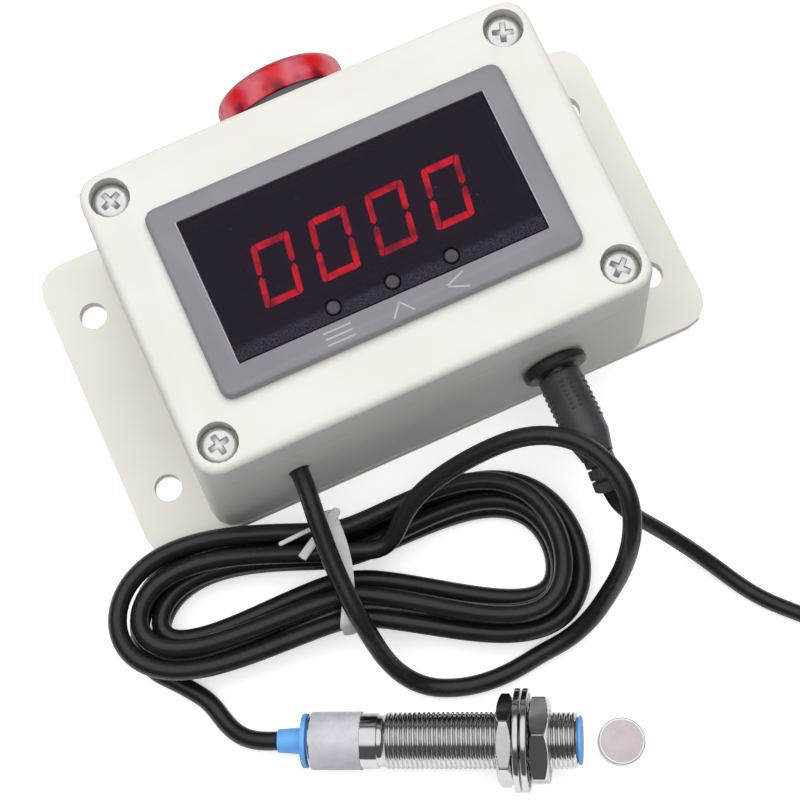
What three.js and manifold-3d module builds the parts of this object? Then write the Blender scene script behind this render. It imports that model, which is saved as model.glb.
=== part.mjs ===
// Digital tachometer kit: a flanged plastic box with a panel display in its lid, a red alarm beacon
// on its back wall, a power lead with a wall adapter, and a threaded proximity sensor on a cord.
// Millimetres. The box's mounting face lies on z = 0, its display faces +Z, the cords leave at -Y.
import * as THREE from 'three';
import { mergeVertices } from 'three/addons/utils/BufferGeometryUtils.js';
import Module from 'manifold-3d';

const wasm = await Module();
wasm.setup();

// Clearances shared by all pieces
const seatGap = 0.3;
const slideGap = 0.35;
const cutOverrun = 1;

// Enclosure
const boxHeight = 48;
const seamHeight = 36;
const seamLength = 100.6;
const seamWidth = 68.6;
const footSpreadX = 0.9;
const footSpreadY = 1.1;
const footLength = seamLength + footSpreadX * 2;
const footWidth = seamWidth + footSpreadY * 2;
const lidTaper = 0.2;
const lidTopLength = seamLength - lidTaper * 2;
const lidTopWidth = seamWidth - lidTaper * 2;
const boxCornerRadius = 5;
const lidEdgeRound = 1.6;
const wallThickness = 3;
const floorThickness = 3;
const lidRoofThickness = 2.6;
const flangeReach = 15.2;
const flangeSpan = footLength + flangeReach * 2;
const flangeThickness = 3;
const flangeCornerRadius = 6;
const flangeHoleReach = 6.5;
const flangeHoleInset = 14.1;
const flangeHoleSpacingX = footLength + flangeHoleReach * 2;
const flangeHoleSpacingY = footWidth - flangeHoleInset * 2;
const flangeHoleDiameter = 6;

// Lid seal: a tongue on the base presses a rubber ring into a groove of the lid
const grooveInset = 1.2;
const grooveWidth = 1.8;
const grooveDepth = 3.3;
const tongueHeight = 1.3;
const sealHeight = 1.4;

// Lid screws
const screwInset = 6.3;
const screwSpacingX = seamLength - screwInset * 2;
const screwSpacingY = seamWidth - screwInset * 2;
const screwHeadDiameter = 6.7;
const screwHeadHeight = 2.6;
const screwHeadRound = 1.1;
const screwShankDiameter = 3.8;
const screwLength = 25;
const screwHeadSink = 2.2;
const screwRecessSpan = 3.9;
const screwRecessWidth = 0.9;
const screwRecessDepth = 1.4;
const counterboreDiameter = 8.5;
const screwClearance = 0.4;
const lidBossDiameter = 12;
const baseBossDiameter = 9.2;

// Panel display
const bezelMarginX = 10.8;
const bezelLength = seamLength - bezelMarginX * 2;
const bezelWidth = 42.9;
const bezelThickness = 2;
const bezelCornerRadius = 2.4;
const bezelEdgeRound = 0.9;
const bezelLipX = 1.7;
const bezelLipY = 2.15;
const caseLength = bezelLength - bezelLipX * 2;
const caseWidth = bezelWidth - bezelLipY * 2;
const caseWall = 1.6;
const caseDepth = 13;
const bezelFrameX = 5.9;
const bezelFrameY = 5.6;
const lensLength = bezelLength - bezelFrameX * 2;
const lensWidth = bezelWidth - bezelFrameY * 2;
const lensThickness = 1.8;
const lensOffsetY = 0.4;
const lensSink = 0.35;
const lensLedge = 1;
const lensLedgeThickness = 1.2;
const rearCoverThickness = 1.5;
const rearPortLength = 23;
const rearPortWidth = 11;
const rearPortMargin = 6.3;
const rearPortX = rearPortMargin + (rearPortLength - caseLength) / 2;
const rearPortInset = 9.3;
const rearPortY = rearPortInset - caseWidth / 2;
const clipWidth = 9;
const clipThickness = 0.9;
const clipReach = 3.2;
const clipDrop = 5.2;
const boardInsetX = 2.8;
const boardInsetY = 2;
const boardLength = caseLength - boardInsetX * 2;
const boardWidth = caseWidth - boardInsetY * 2;
const boardThickness = 1.6;

// Digits
const digitCount = 4;
const digitWidth = 7.8;
const segmentWidth = 1.5;
const segmentGap = 0.25;
const digitSlant = 0.17;
const digitSlabThickness = 1.2;
const segmentRise = 0.6;
const pointDiameter = 1.5;
const housingLength = 50.3;
const housingMarginX = 12.2;
const digitPitch = (housingLength - housingMarginX) / (digitCount - 1);
const housingMarginY = 12.7;
const housingWidth = lensWidth - housingMarginY;
const housingHeight = 7.6;
const digitCellLength = 12;
const digitCellMarginY = 2.6;
const digitCellWidth = housingWidth - digitCellMarginY;
const digitMarginY = 2.2;
const digitHeight = digitCellWidth - digitMarginY;
const digitCellDepth = 2.2;
const digitOffsetY = 0.2;

// Set, up and shift keys
const keyCount = 3;
const keyPitch = 12.9;
const keyFirstX = -12.2;
const keyInset = 2.65;
const keyY = lensOffsetY - lensWidth / 2 + keyInset;
const keyDiameter = 2.8;
const keyBore = 3.5;
const keyTravel = 0.35;
const keyStandProud = 0.15;
const keyCollarDiameter = 4.4;
const keyCollarThickness = 0.7;
const switchSize = 5.6;
const switchHeight = 3.4;
const switchPlungerDiameter = 2.4;
const switchPlungerHeight = 0.5;

// Parts on the rear of the display board
const terminalLength = 21;
const terminalWidth = 8.6;
const terminalHeight = 9.5;
const terminalWays = 6;
const terminalPortShare = 0.52;
const controllerLength = 11;
const controllerHeight = 1.7;
const controllerX = 6;
const controllerY = 4;
const regulatorLength = 6.4;
const regulatorWidth = 5.4;
const regulatorX = 24;
const regulatorInset = 9.3;
const regulatorY = regulatorInset - boardWidth / 2;

// Alarm beacon on the back wall
const beaconX = -1;
const beaconZ = 21;
const beaconDiameter = 28.8;
const beaconSealDiameter = 26.4;
const beaconSealThickness = 1.2;
const beaconRingThickness = 2.9;
const beaconLensDepth = 6.8;
const beaconLensRound = 2.6;
const beaconLensWall = 1.5;
const beaconBarrelDiameter = 21.6;
const beaconBarrelWall = 1.8;
const beaconBarrelLength = 28;
const beaconHoleDiameter = 22.4;
const beaconNutAcross = 27;
const beaconNutThickness = 4.6;
const beaconNutBore = 22.2;
const beaconBoardDiameter = 23;
const beaconBoardThickness = 1.2;
const beaconLedCount = 4;
const beaconLedDiameter = 4;
const beaconLedHeight = 2.4;
const beaconLedRingRadius = 7.2;
const sounderDiameter = 16.4;
const sounderThickness = 5.5;
const sounderSeatDepth = 8;
const beaconTerminalSpacing = 11;
const beaconTerminalDiameter = 4.6;
const beaconTerminalLength = 5;
const beaconTerminalSlot = 0.9;

// Power socket on the front wall
const jackInset = 23.5;
const jackX = seamLength / 2 - jackInset;
const jackZ = 22;
const jackFlangeDiameter = 14;
const jackFlangeThickness = 2;
const jackFlangeRound = 0.5;
const jackBarrelDiameter = 10.8;
const jackBarrelLength = 19;
const jackHoleDiameter = 11.4;
const jackMouthDiameter = 6.6;
const jackMouthDepth = 11.5;
const jackPinDiameter = 2;
const jackPinLength = 8.5;
const jackTagWidth = 2.2;
const jackTagThickness = 0.5;
const jackTagLength = 5;
const jackTagSpacing = 5.6;
const jackNutAcross = 14;
const jackNutThickness = 2.6;

// Power plug
const plugDiameter = 9.4;
const plugGripLength = 14.6;
const plugNeckDiameter = 7;
const plugNeckLength = 4.4;
const plugEdgeRound = 0.8;
const plugRibCount = 6;
const plugRibWidth = 0.85;
const plugRibProud = 0.35;
const plugRibStart = 2.4;
const plugRibArcWidth = 2.6;
const plugGripFaces = 4;
const plugBarrelDiameter = 5.5;
const plugBarrelBore = 2.9;
const plugBarrelLength = 9.5;
const plugRestGap = 0.4;
const reliefDiameter = 5.6;
const reliefRibDiameter = 6.6;
const reliefRibCount = 3;

// Power cord: its route points are chosen by hand, the coil follows a formula
const powerCordDiameter = 3.5;
const powerCordSides = 8;
const reliefRoute = [
  [26.8, -56.9, 22], [26.7, -58.7, 21.9], [26.5, -60.5, 21.65], [26.35, -62.3, 21.1], [26.3, -63.9, 20.3],
];
const powerLeadRoute = [
  [26.3, -64.17, 20.16], [26.5, -65.8, 19.25], [27.2, -67.7, 17.8], [28.8, -69.8, 15.5], [31, -72, 12.9],
  [33.8, -74.9, 10], [36.8, -78.4, 7.1], [39.7, -82.2, 4.6], [42.4, -86.4, 2.9], [45.1, -91.1, 2],
  [48, -95.5, 1.8], [51.3, -99.3, 1.8], [55.8, -103.9, 1.8], [61, -109.6, 1.8], [68, -116.8, 1.8],
  [71.28, -119.09, 1.8],
];
const powerTailRoute = [
  [118.99, -98.74, 5.82], [119.25, -97, 5.85], [119.4, -95.3, 6.4], [119.3, -93.5, 7.9], [119, -91.7, 10],
  [118.7, -89.9, 11.8], [118.5, -88.2, 12.8], [118.4, -86.8, 13], [118.4, -83.3, 13],
];
const coilCentreX = 92.4;
const coilCentreY = -102.5;
const coilRadius = 26;
const coilPitch = 4.02;
const coilStartAngle = 226.2;
const coilTurns = 7.3717;
const coilLayers = 2;
const stepsPerLoop = 24;
const loopSides = 6;

// Wall adapter at the far end of the power cord
const adapterX = 118.4;
const adapterY = -49.6;
const adapterLength = 50;
const adapterWidth = 33;
const adapterHeight = 26;
const adapterCornerRadius = 3.5;
const adapterWall = 2;
const adapterCoverThickness = 6;
const adapterGlandDiameter = 6.4;
const adapterGlandLength = 8.4;
const adapterGlandFlange = 1.2;
const bladeSpacing = 12.7;
const bladeWidth = 6.3;
const bladeThickness = 1.5;
const bladeLength = 16;
const bladeRoot = 4;

// Sensor on its cord
const sensorX = -53.1;
const sensorY = -83.5;
const sensorZ = 5.9;
const sensorYaw = -24.9;
const sensorTilt = 6.2;
const sensorDiameter = 11.8;
const sensorBarrelDiameter = 11.5;
const sensorSleeveLength = 14.6;
const sensorLength = 57.2;
const sensorWall = 1;
const threadReliefDiameter = 10.6;
const threadReliefLength = 0.9;
const tailCapDiameter = 11.4;
const tailCapLength = 1.4;
const tailTubeDiameter = 5.6;
const tailTubeEndDiameter = 4.9;
const tailTubeLength = 5;
const capSpigotLength = 3;
const faceCapDiameter = 10.5;
const faceCapLength = 1.3;
const labelStart = 1.2;
const labelLength = 10.5;
const labelThickness = 0.25;
const sensorBoardWidth = 6.4;
const sensorBoardThickness = 1;
const sensorBoardLength = 40;
const nutAcrossFlats = 17;
const nutBore = 12.4;
const rearNutStart = 41.2;
const rearNutThickness = 3.2;
const washerOuterDiameter = 21.4;
const washerThickness = 1.3;
const frontNutThickness = 4;
const rearNutTurn = -16;
const magnetX = 8;
const magnetY = -110.9;
const magnetDiameter = 10;
const magnetThickness = 2.6;
const magnetChamfer = 0.35;

// Sensor cord: the lead and the tail are routed by hand, the tied hank follows a formula
const sensorCordDiameter = 4;
const sensorCordSides = 8;
const cordStepDiameters = 2.6;
const cordHoleDiameter = 4.8;
const cordHoleInset = 19.3;
const cordHoleX = cordHoleInset - seamLength / 2;
const cordHoleZ = 25;
const cableTieThickness = 1.2;
const cableTieWidth = 3;
const sensorLeadRoute = [
  [-31, -22.5, 25], [-31, -28, 25], [-31, -34.5, 25], [-31.1, -38.2, 24.9], [-31.5, -42.4, 24.5],
  [-32, -47, 23.6], [-32.3, -51.5, 22.4], [-32.5, -56.2, 21.2], [-32.4, -60.8, 20.2], [-32.2, -65.3, 19],
  [-31.6, -69.6, 16.9], [-30.9, -73.4, 12.8], [-29.7, -77, 8.2], [-27.5, -80.6, 4.6], [-24, -83.9, 2.5],
  [-19.8, -86, 2.05], [-15.3, -87.4, 2.05], [-10.7, -88, 2.1], [-5.6, -88, 2.3], [0.4, -87.3, 3],
  [6.6, -87, 4.6], [12.6, -85.4, 7.8], [17.6, -82.8, 13], [21.4, -80.3, 19.4], [24.1, -77.4, 25],
  [26.1, -73.9, 28.6], [27.2, -70.2, 30.8], [27.5, -66.4, 31.9], [26.9, -62.4, 32.3], [25.5, -58.6, 32.3],
  [23.3, -55, 32.1], [20.2, -51.9, 31.6], [16.2, -49.5, 30.8], [11.4, -47.9, 29.2], [6.2, -47.2, 27],
  [0.6, -47, 24.4], [-4.8, -47.3, 21.6], [-9.7, -48.2, 19], [-13.7, -49.9, 16.8], [-16.8, -52.2, 14.7],
  [-19.4, -54, 12.9], [-22, -54.3, 12.2], [-25.71, -53.01, 12.15],
];
const sensorTailRoute = [
  [-70.4, -63.42, 2.15], [-68.3, -66.3, 2.15], [-67.3, -68.4, 2.2], [-66.9, -70.6, 2.4], [-66.2, -73.3, 2.8],
  [-65.1, -76, 3.5], [-63.2, -78.4, 4.3], [-60.6, -80.1, 5], [-57.88, -81.28, 5.33],
];
const hankX = -30.6;
const hankY = -54.8;
const hankYaw = -14;
const hankReachRight = 52;
const hankReachLeft = 46;
const hankWaist = 9.6;
const hankSpreadRight = 33;
const hankSpreadLeft = 24;
const hankShiftRight = -4.5;
const hankShiftLeft = -6;
const hankShiftPerLayer = 1.2;
const hankReachPerLayer = 1.6;
const hankPitch = 4.55;
const hankLoops = 5.3333;
const hankEndAngle = 210;
const hankClimbAngle = 270;
const hankLayerLoops = 2;
const tieThickness = 0.7;
const tieWidth = 4;
const tieTailLength = 9;
const tieTailWidth = 1.8;
const tieTailThickness = 0.9;
const tieTailSplay = 14;
const tieTailShare = 0.3;

// Wiring inside the box
const coreThickness = 1.1;
const coreHeight = 2.4;
const supplyCoreReach = 1.8;
const beaconCoreReach = 2.8;
const sensorCoreRoute = [[-31, -21.9, 25.6], [-31, -19.5, 26.2], [-29.5, -18.2, 28], [-27.4, -17.6, 30]];
const supplyCoreRoute = [[23.4, -14.4, 22], [17, -13.6, 22.3], [6, -13.4, 24], [-5, -14.4, 27], [-14, -17.2, 29.6]];
const beaconCoreRoute = [[-6.2, -0.6, 21], [-8, -2, 21.2], [-13.5, -3, 24.2], [-16.6, -4.2, 28.4]];

const quarter = Math.PI / 2;
const circleSides = 24;
const boreSides = 18;
const screwSides = 16;
const pinSides = 10;
const cornerSteps = 3;
const radians = THREE.MathUtils.degToRad;

// Turns a closed three.js geometry into a bare shell of merged corners that faces out
function shell(geometry) {
  geometry.deleteAttribute('normal');
  geometry.deleteAttribute('uv');
  const merged = mergeVertices(geometry);
  const position = merged.attributes.position;
  const corners = [new THREE.Vector3(), new THREE.Vector3(), new THREE.Vector3()];
  const faces = [];
  let volume = 0;
  for (let i = 0; i < merged.index.count; i += 3) {
    const face = [0, 1, 2].map((k) => merged.index.getX(i + k));
    if (face[0] === face[1] || face[1] === face[2] || face[2] === face[0]) continue;
    corners.forEach((corner, k) => corner.fromBufferAttribute(position, face[k]));
    volume += corners[0].dot(corners[1].clone().cross(corners[2]));
    faces.push(face);
  }
  const ordered = volume < 0 ? faces.map(([a, b, c]) => [a, c, b]) : faces;
  const clean = new THREE.BufferGeometry();
  clean.setAttribute('position', position.clone());
  clean.setIndex(ordered.flat());
  return clean;
}

function solid(geometry) {
  const closed = shell(geometry);
  const mesh = new wasm.Mesh({
    numProp: 3,
    vertProperties: new Float32Array(closed.attributes.position.array),
    triVerts: new Uint32Array(closed.index.array),
  });
  return new wasm.Manifold(mesh);
}

function geometryOf(body) {
  if (body.isBufferGeometry) return shell(body);
  const mesh = body.getMesh();
  const geometry = new THREE.BufferGeometry();
  geometry.setAttribute('position', new THREE.BufferAttribute(mesh.vertProperties, mesh.numProp));
  geometry.setIndex(new THREE.BufferAttribute(mesh.triVerts, 1));
  return geometry;
}

// Solids in local places
function block(sizeX, sizeY, sizeZ, x, y, bottom) {
  return solid(new THREE.BoxGeometry(sizeX, sizeY, sizeZ).translate(x, y, bottom + sizeZ / 2));
}

function disc(diameter, height, x, y, bottom, sides = circleSides, turn = 0) {
  const geometry = new THREE.CylinderGeometry(diameter / 2, diameter / 2, height, sides);
  geometry.rotateX(quarter).rotateZ(turn);
  return solid(geometry.translate(x, y, bottom + height / 2));
}

// A turned body about Z from [radius, height] pairs
function turned(profile, sides = circleSides) {
  const points = profile.map(([radius, height]) => new THREE.Vector2(radius, height));
  return solid(new THREE.LatheGeometry(points, sides).rotateX(quarter));
}

function hexNut(acrossFlats, thickness, bore, chamfer) {
  const corner = acrossFlats / Math.sqrt(3);
  const flat = acrossFlats / 2;
  const prism = disc(corner * 2, thickness, 0, 0, 0, 6);
  const cone = turned([
    [0, 0], [flat, 0], [corner + seatGap, chamfer], [corner + seatGap, thickness - chamfer],
    [flat, thickness], [0, thickness],
  ], boreSides);
  return prism.intersect(cone).subtract(disc(bore, thickness + cutOverrun * 2, 0, 0, -cutOverrun, boreSides));
}

// Corner points of a rounded rectangle, counterclockwise
function roundedOutline(halfX, halfY, radius, steps = cornerSteps) {
  const centres = [[1, 1], [-1, 1], [-1, -1], [1, -1]];
  return centres.flatMap(([signX, signY], corner) => Array.from({ length: steps + 1 }, (_, step) => {
    const angle = (corner + step / steps) * quarter;
    const x = signX * (halfX - radius) + radius * Math.cos(angle);
    const y = signY * (halfY - radius) + radius * Math.sin(angle);
    return new THREE.Vector2(x, y);
  }));
}

// Closes a stack of rings, all of one point count, into a body with a flat fan at each end
function ringStack(rings) {
  const count = rings[0].length;
  const points = rings.flat();
  const index = [];
  for (let ring = 0; ring < rings.length - 1; ring += 1) {
    for (let i = 0; i < count; i += 1) {
      const a = ring * count + i;
      const b = ring * count + (i + 1) % count;
      index.push(a, b, b + count, a, b + count, a + count);
    }
  }
  const last = (rings.length - 1) * count;
  for (let i = 1; i < count - 1; i += 1) {
    index.push(0, i + 1, i, last, last + i, last + i + 1);
  }
  const geometry = new THREE.BufferGeometry().setFromPoints(points);
  geometry.setIndex(index);
  return geometry;
}

// A body of rounded rectangles: each level is [z, length, width, corner radius]
function loft(levels, steps = cornerSteps) {
  return solid(ringStack(levels.map(([z, length, width, radius]) =>
    roundedOutline(length / 2, width / 2, radius, steps).map((p) => new THREE.Vector3(p.x, p.y, z)))));
}

// Levels of a plate whose upper edge is rounded
function roundTopLevels(bottom, top, length, width, radius, round, steps = 3) {
  const levels = [[bottom, length, width, radius]];
  for (let step = 0; step <= steps; step += 1) {
    const angle = (step / steps) * quarter;
    const inset = round * (1 - Math.cos(angle));
    const z = top - round + round * Math.sin(angle);
    levels.push([z, length - inset * 2, width - inset * 2, Math.max(radius - inset, seatGap)]);
  }
  return levels;
}

function plate(length, width, radius, bottom, thickness) {
  return loft([[bottom, length, width, radius], [bottom + thickness, length, width, radius]]);
}

// A round tube of steady section along a curve
function tube(curve, diameter, sides, steps) {
  const section = new THREE.Shape();
  for (let side = 0; side < sides; side += 1) {
    const angle = (side / sides) * quarter * 4;
    const x = (diameter / 2) * Math.cos(angle);
    const y = (diameter / 2) * Math.sin(angle);
    if (side === 0) section.moveTo(x, y);
    else section.lineTo(x, y);
  }
  return new THREE.ExtrudeGeometry(section, { steps, bevelEnabled: false, extrudePath: curve });
}

function strip(points, width, thickness, steps) {
  const section = new THREE.Shape();
  section.moveTo(-width / 2, -thickness / 2);
  section.lineTo(width / 2, -thickness / 2);
  section.lineTo(width / 2, thickness / 2);
  section.lineTo(-width / 2, thickness / 2);
  return new THREE.ExtrudeGeometry(section, { steps, bevelEnabled: false, extrudePath: smooth(points) });
}

function smooth(points) {
  return new THREE.CatmullRomCurve3(points.map(([x, y, z]) => new THREE.Vector3(x, y, z)), false, 'centripetal');
}

// Rings of given radii set square to a line of points, for wound cords and tapered reliefs
function wound(points, radii, sides) {
  const up = new THREE.Vector3(0, 0, 1);
  const rings = points.map((point, i) => {
    const ahead = points[Math.min(i + 1, points.length - 1)];
    const behind = points[Math.max(i - 1, 0)];
    const along = ahead.clone().sub(behind).normalize();
    const side = up.clone().cross(along).normalize();
    const rise = along.clone().cross(side);
    return Array.from({ length: sides }, (_, k) => {
      const angle = ((k + 1 / 2) / sides) * quarter * 4;
      return point.clone().addScaledVector(side, radii[i] * Math.cos(angle))
        .addScaledVector(rise, radii[i] * Math.sin(angle));
    });
  });
  return ringStack(rings);
}

// Runs a wound line straight for one diameter past each end
function withStraightEnds(points, diameter) {
  const first = points[0].clone().sub(points[1]).normalize();
  const last = points[points.length - 1].clone().sub(points[points.length - 2]).normalize();
  return [
    points[0].clone().addScaledVector(first, diameter), ...points,
    points[points.length - 1].clone().addScaledVector(last, diameter),
  ];
}

// Smallest space between two stretches of one wound cord that are more than a half turn apart
function leastGap(points, diameter, apart) {
  let least = Infinity;
  for (let i = 0; i < points.length; i += 1) {
    for (let j = i + apart; j < points.length; j += 1) {
      least = Math.min(least, points[i].distanceTo(points[j]));
    }
  }
  return least - diameter;
}

function matte(colour, roughness, metalness = 0) {
  return new THREE.MeshStandardMaterial({ color: colour, roughness, metalness });
}

function add(parent, name, body, material) {
  const mesh = new THREE.Mesh(geometryOf(body), material);
  mesh.name = name;
  parent.add(mesh);
  return mesh;
}

function cornersOf(spacingX, spacingY) {
  return [[-1, 1], [1, 1], [1, -1], [-1, -1]].map(([a, b]) => [a * spacingX / 2, b * spacingY / 2]);
}

const tachometer = new THREE.Group();

const abs = matte(0xe9e5dc, 0.45);
const sealRubber = matte(0x2b2b2c, 0.8);
const steel = matte(0xb9bcc0, 0.3, 1);
const brass = matte(0xc8a04c, 0.35, 1);
const bezelPlastic = matte(0x6c6b70, 0.5);
const cordJacket = matte(0x1c1c1f, 0.5);
const circuitGreen = matte(0x1d5a34, 0.6);
const blackPlastic = matte(0x202124, 0.5);

// Outer wall of the base, from its foot to the seam, with a set thickness taken off all round
function baseLevels(inset, bottom, top) {
  const at = (z) => {
    const share = (seamHeight - z) / seamHeight;
    return [
      z, seamLength + (footLength - seamLength) * share - inset * 2,
      seamWidth + (footWidth - seamWidth) * share - inset * 2,
      Math.max(boxCornerRadius - inset, seatGap * 4),
    ];
  };
  return [at(bottom), at(top)];
}

function rimRing(inset, width, bottom, height) {
  const radius = (taken) => Math.max(boxCornerRadius - taken, seatGap);
  const outer = plate(seamLength - inset * 2, seamWidth - inset * 2, radius(inset), bottom, height);
  const taken = inset + width;
  const inner = plate(seamLength - taken * 2, seamWidth - taken * 2, radius(taken),
    bottom - cutOverrun, height + cutOverrun * 2);
  return outer.subtract(inner);
}

const screwSeat = boxHeight - screwHeadSink - screwHeadHeight;
const tongueInset = grooveInset + seatGap;
const tongueWidth = grooveWidth - seatGap * 2;

function makeBase(group) {
  let base = loft(baseLevels(0, 0, seamHeight));
  base = base.add(plate(flangeSpan, footWidth, flangeCornerRadius, 0, flangeThickness));
  base = base.subtract(loft(baseLevels(wallThickness, floorThickness, seamHeight + cutOverrun)));
  for (const [x, y] of cornersOf(screwSpacingX, screwSpacingY)) {
    const reach = baseBossDiameter / 2;
    const fill = block(reach, reach, seamHeight, x + Math.sign(x) * reach / 2, y + Math.sign(y) * reach / 2, 0);
    const post = disc(baseBossDiameter, seamHeight, x, y, 0, boreSides).add(fill);
    base = base.add(post.intersect(loft(baseLevels(wallThickness / 2, 0, seamHeight))));
  }
  base = base.add(rimRing(tongueInset, tongueWidth, seamHeight - seatGap, tongueHeight + seatGap));
  const boreDepth = screwLength - (screwSeat - seamHeight) + seatGap * 4;
  for (const [x, y] of cornersOf(screwSpacingX, screwSpacingY)) {
    const bore = disc(screwShankDiameter + screwClearance * 2, boreDepth + cutOverrun * 2, x, y,
      seamHeight - boreDepth, pinSides);
    base = base.subtract(bore);
  }
  for (const [x, y] of cornersOf(flangeHoleSpacingX, flangeHoleSpacingY)) {
    base = base.subtract(disc(flangeHoleDiameter, flangeThickness + cutOverrun * 2, x, y, -cutOverrun, boreSides));
  }
  const halfFoot = footWidth / 2;
  const backHole = disc(beaconHoleDiameter, halfFoot, 0, 0, 0);
  base = base.subtract(backHole.rotate([-90, 0, 0]).translate([beaconX, 0, beaconZ]).translate([0, halfFoot / 2, 0]));
  const jackHole = disc(jackHoleDiameter, halfFoot, 0, 0, 0, boreSides);
  base = base.subtract(jackHole.rotate([90, 0, 0]).translate([jackX, -halfFoot / 2, jackZ]));
  const cordHole = disc(cordHoleDiameter, halfFoot, 0, 0, 0, boreSides);
  base = base.subtract(cordHole.rotate([90, 0, 0]).translate([cordHoleX, -halfFoot / 2, cordHoleZ]));
  add(group, 'enclosure_base', base, abs);
}

function makeLid(group) {
  const bottom = seamHeight + seatGap;
  const levels = [
    [bottom, seamLength, seamWidth, boxCornerRadius],
    ...roundTopLevels(bottom, boxHeight, lidTopLength, lidTopWidth, boxCornerRadius, lidEdgeRound).slice(1),
  ];
  let lid = loft(levels);
  const innerInset = grooveInset * 2 + grooveWidth;
  const roofUnder = boxHeight - lidRoofThickness;
  lid = lid.subtract(plate(seamLength - innerInset * 2, seamWidth - innerInset * 2, seatGap * 4,
    bottom - cutOverrun, roofUnder - bottom + cutOverrun));
  for (const [x, y] of cornersOf(screwSpacingX, screwSpacingY)) {
    const post = disc(lidBossDiameter, roofUnder - bottom + seatGap, x, y, bottom, boreSides);
    lid = lid.add(post.intersect(plate(seamLength - grooveInset * 2, seamWidth - grooveInset * 2,
      boxCornerRadius - grooveInset, bottom, boxHeight - bottom)));
  }
  lid = lid.subtract(rimRing(grooveInset, grooveWidth, bottom - cutOverrun, grooveDepth - seatGap + cutOverrun));
  for (const [x, y] of cornersOf(screwSpacingX, screwSpacingY)) {
    lid = lid.subtract(disc(counterboreDiameter, boxHeight, x, y, screwSeat - seatGap, boreSides));
    lid = lid.subtract(disc(screwShankDiameter + screwClearance * 2, boxHeight, x, y, 0, pinSides));
  }
  lid = lid.subtract(plate(caseLength + slideGap * 2, caseWidth + slideGap * 2, seatGap * 2,
    roofUnder - cutOverrun, lidRoofThickness + cutOverrun * 2));
  add(group, 'enclosure_lid', lid, abs);
  const sealBottom = seamHeight + tongueHeight + seatGap;
  add(group, 'lid_gasket', rimRing(tongueInset, tongueWidth, sealBottom, sealHeight), sealRubber);
}

function makeLidScrews(group) {
  const radius = screwHeadDiameter / 2;
  const profile = [
    [0, -screwLength], [screwShankDiameter / 4, -screwLength],
    [screwShankDiameter / 2, screwShankDiameter - screwLength], [screwShankDiameter / 2, 0], [radius, 0],
    [radius, screwHeadHeight - screwHeadRound], [radius - screwHeadRound / 2, screwHeadHeight - screwHeadRound / 3],
    [radius - screwHeadRound * 2, screwHeadHeight], [0, screwHeadHeight],
  ];
  const recess = block(screwRecessSpan, screwRecessWidth, screwRecessDepth + cutOverrun, 0, 0,
    screwHeadHeight - screwRecessDepth);
  const cross = recess.add(recess.rotate([0, 0, 90]));
  const screw = turned(profile, screwSides).subtract(cross);
  cornersOf(screwSpacingX, screwSpacingY).forEach(([x, y], i) => {
    const mesh = add(group, `lid_screw_${i + 1}`, screw, steel);
    mesh.position.set(x, y, screwSeat);
    mesh.rotation.z = radians(screwTurns[i]);
  });
}
const screwTurns = [25, 70, 40, 10];

const lensBottom = bezelThickness - lensSink - lensThickness;
const boardTop = lensBottom - lensLedgeThickness - seatGap * 2 - housingHeight;

// Local height 0 is the lid's top, and the bezel sits a seat gap above it
function makeMeterCase(group) {
  let body = loft(roundTopLevels(0, bezelThickness, bezelLength, bezelWidth, bezelCornerRadius, bezelEdgeRound));
  body = body.add(plate(caseLength, caseWidth, seatGap * 2, -caseDepth, caseDepth + seatGap));
  const hollow = plate(caseLength - caseWall * 2, caseWidth - caseWall * 2, seatGap,
    -caseDepth - cutOverrun, caseDepth + lensBottom - lensLedgeThickness + cutOverrun);
  body = body.subtract(hollow);
  const seat = plate(lensLength + seatGap * 2, lensWidth + seatGap * 2, seatGap, lensBottom - seatGap,
    bezelThickness + cutOverrun);
  const sight = plate(lensLength - lensLedge * 2, lensWidth - lensLedge * 2, seatGap, -caseDepth,
    caseDepth + bezelThickness);
  body = body.subtract(seat.add(sight).translate([0, lensOffsetY, 0]));
  add(group, 'meter_case', body, bezelPlastic);

  let lens = plate(lensLength, lensWidth, seatGap, lensBottom, lensThickness).translate([0, lensOffsetY, 0]);
  for (let key = 0; key < keyCount; key += 1) {
    lens = lens.subtract(disc(keyBore, lensThickness + cutOverrun * 2, keyFirstX + key * keyPitch, keyY,
      lensBottom - cutOverrun, boreSides));
  }
  const smoked = new THREE.MeshStandardMaterial({ color: 0x1e1420, roughness: 0.15, transparent: true, opacity: 0.7 });
  add(group, 'meter_lens', lens, smoked);

  const port = plate(rearPortLength, rearPortWidth, seatGap, -caseDepth * 2, caseDepth * 2)
    .translate([rearPortX, rearPortY, 0]);
  const rear = plate(bezelLength - bezelCornerRadius * 2, caseWidth - seatGap, seatGap,
    -caseDepth - seatGap - rearCoverThickness, rearCoverThickness).subtract(port);
  add(group, 'meter_rear_cover', rear.intersect(plate(caseLength, caseWidth, seatGap * 2,
    -caseDepth * 2, caseDepth * 2)), blackPlastic);
}

// A folded spring clip at each end of the case presses up against the lid's underside
function makeMeterClips(group) {
  const under = -lidRoofThickness - seatGap * 2;
  for (const [side, label] of [[-1, 'left'], [1, 'right']]) {
    const inner = caseLength / 2 + seatGap;
    const outline = new THREE.Shape();
    outline.moveTo(inner, under - clipDrop);
    outline.lineTo(inner + clipThickness, under - clipDrop);
    outline.lineTo(inner + clipThickness, under - clipThickness * 2);
    outline.lineTo(inner + clipReach, under - clipThickness);
    outline.lineTo(inner + clipReach, under);
    outline.lineTo(inner, under);
    const geometry = new THREE.ExtrudeGeometry(outline, { depth: clipWidth, bevelEnabled: false });
    geometry.translate(0, 0, -clipWidth / 2).rotateX(quarter);
    if (side < 0) geometry.rotateZ(quarter * 2);
    add(group, `meter_clip_${label}`, solid(geometry), steel);
  }
}

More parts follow.
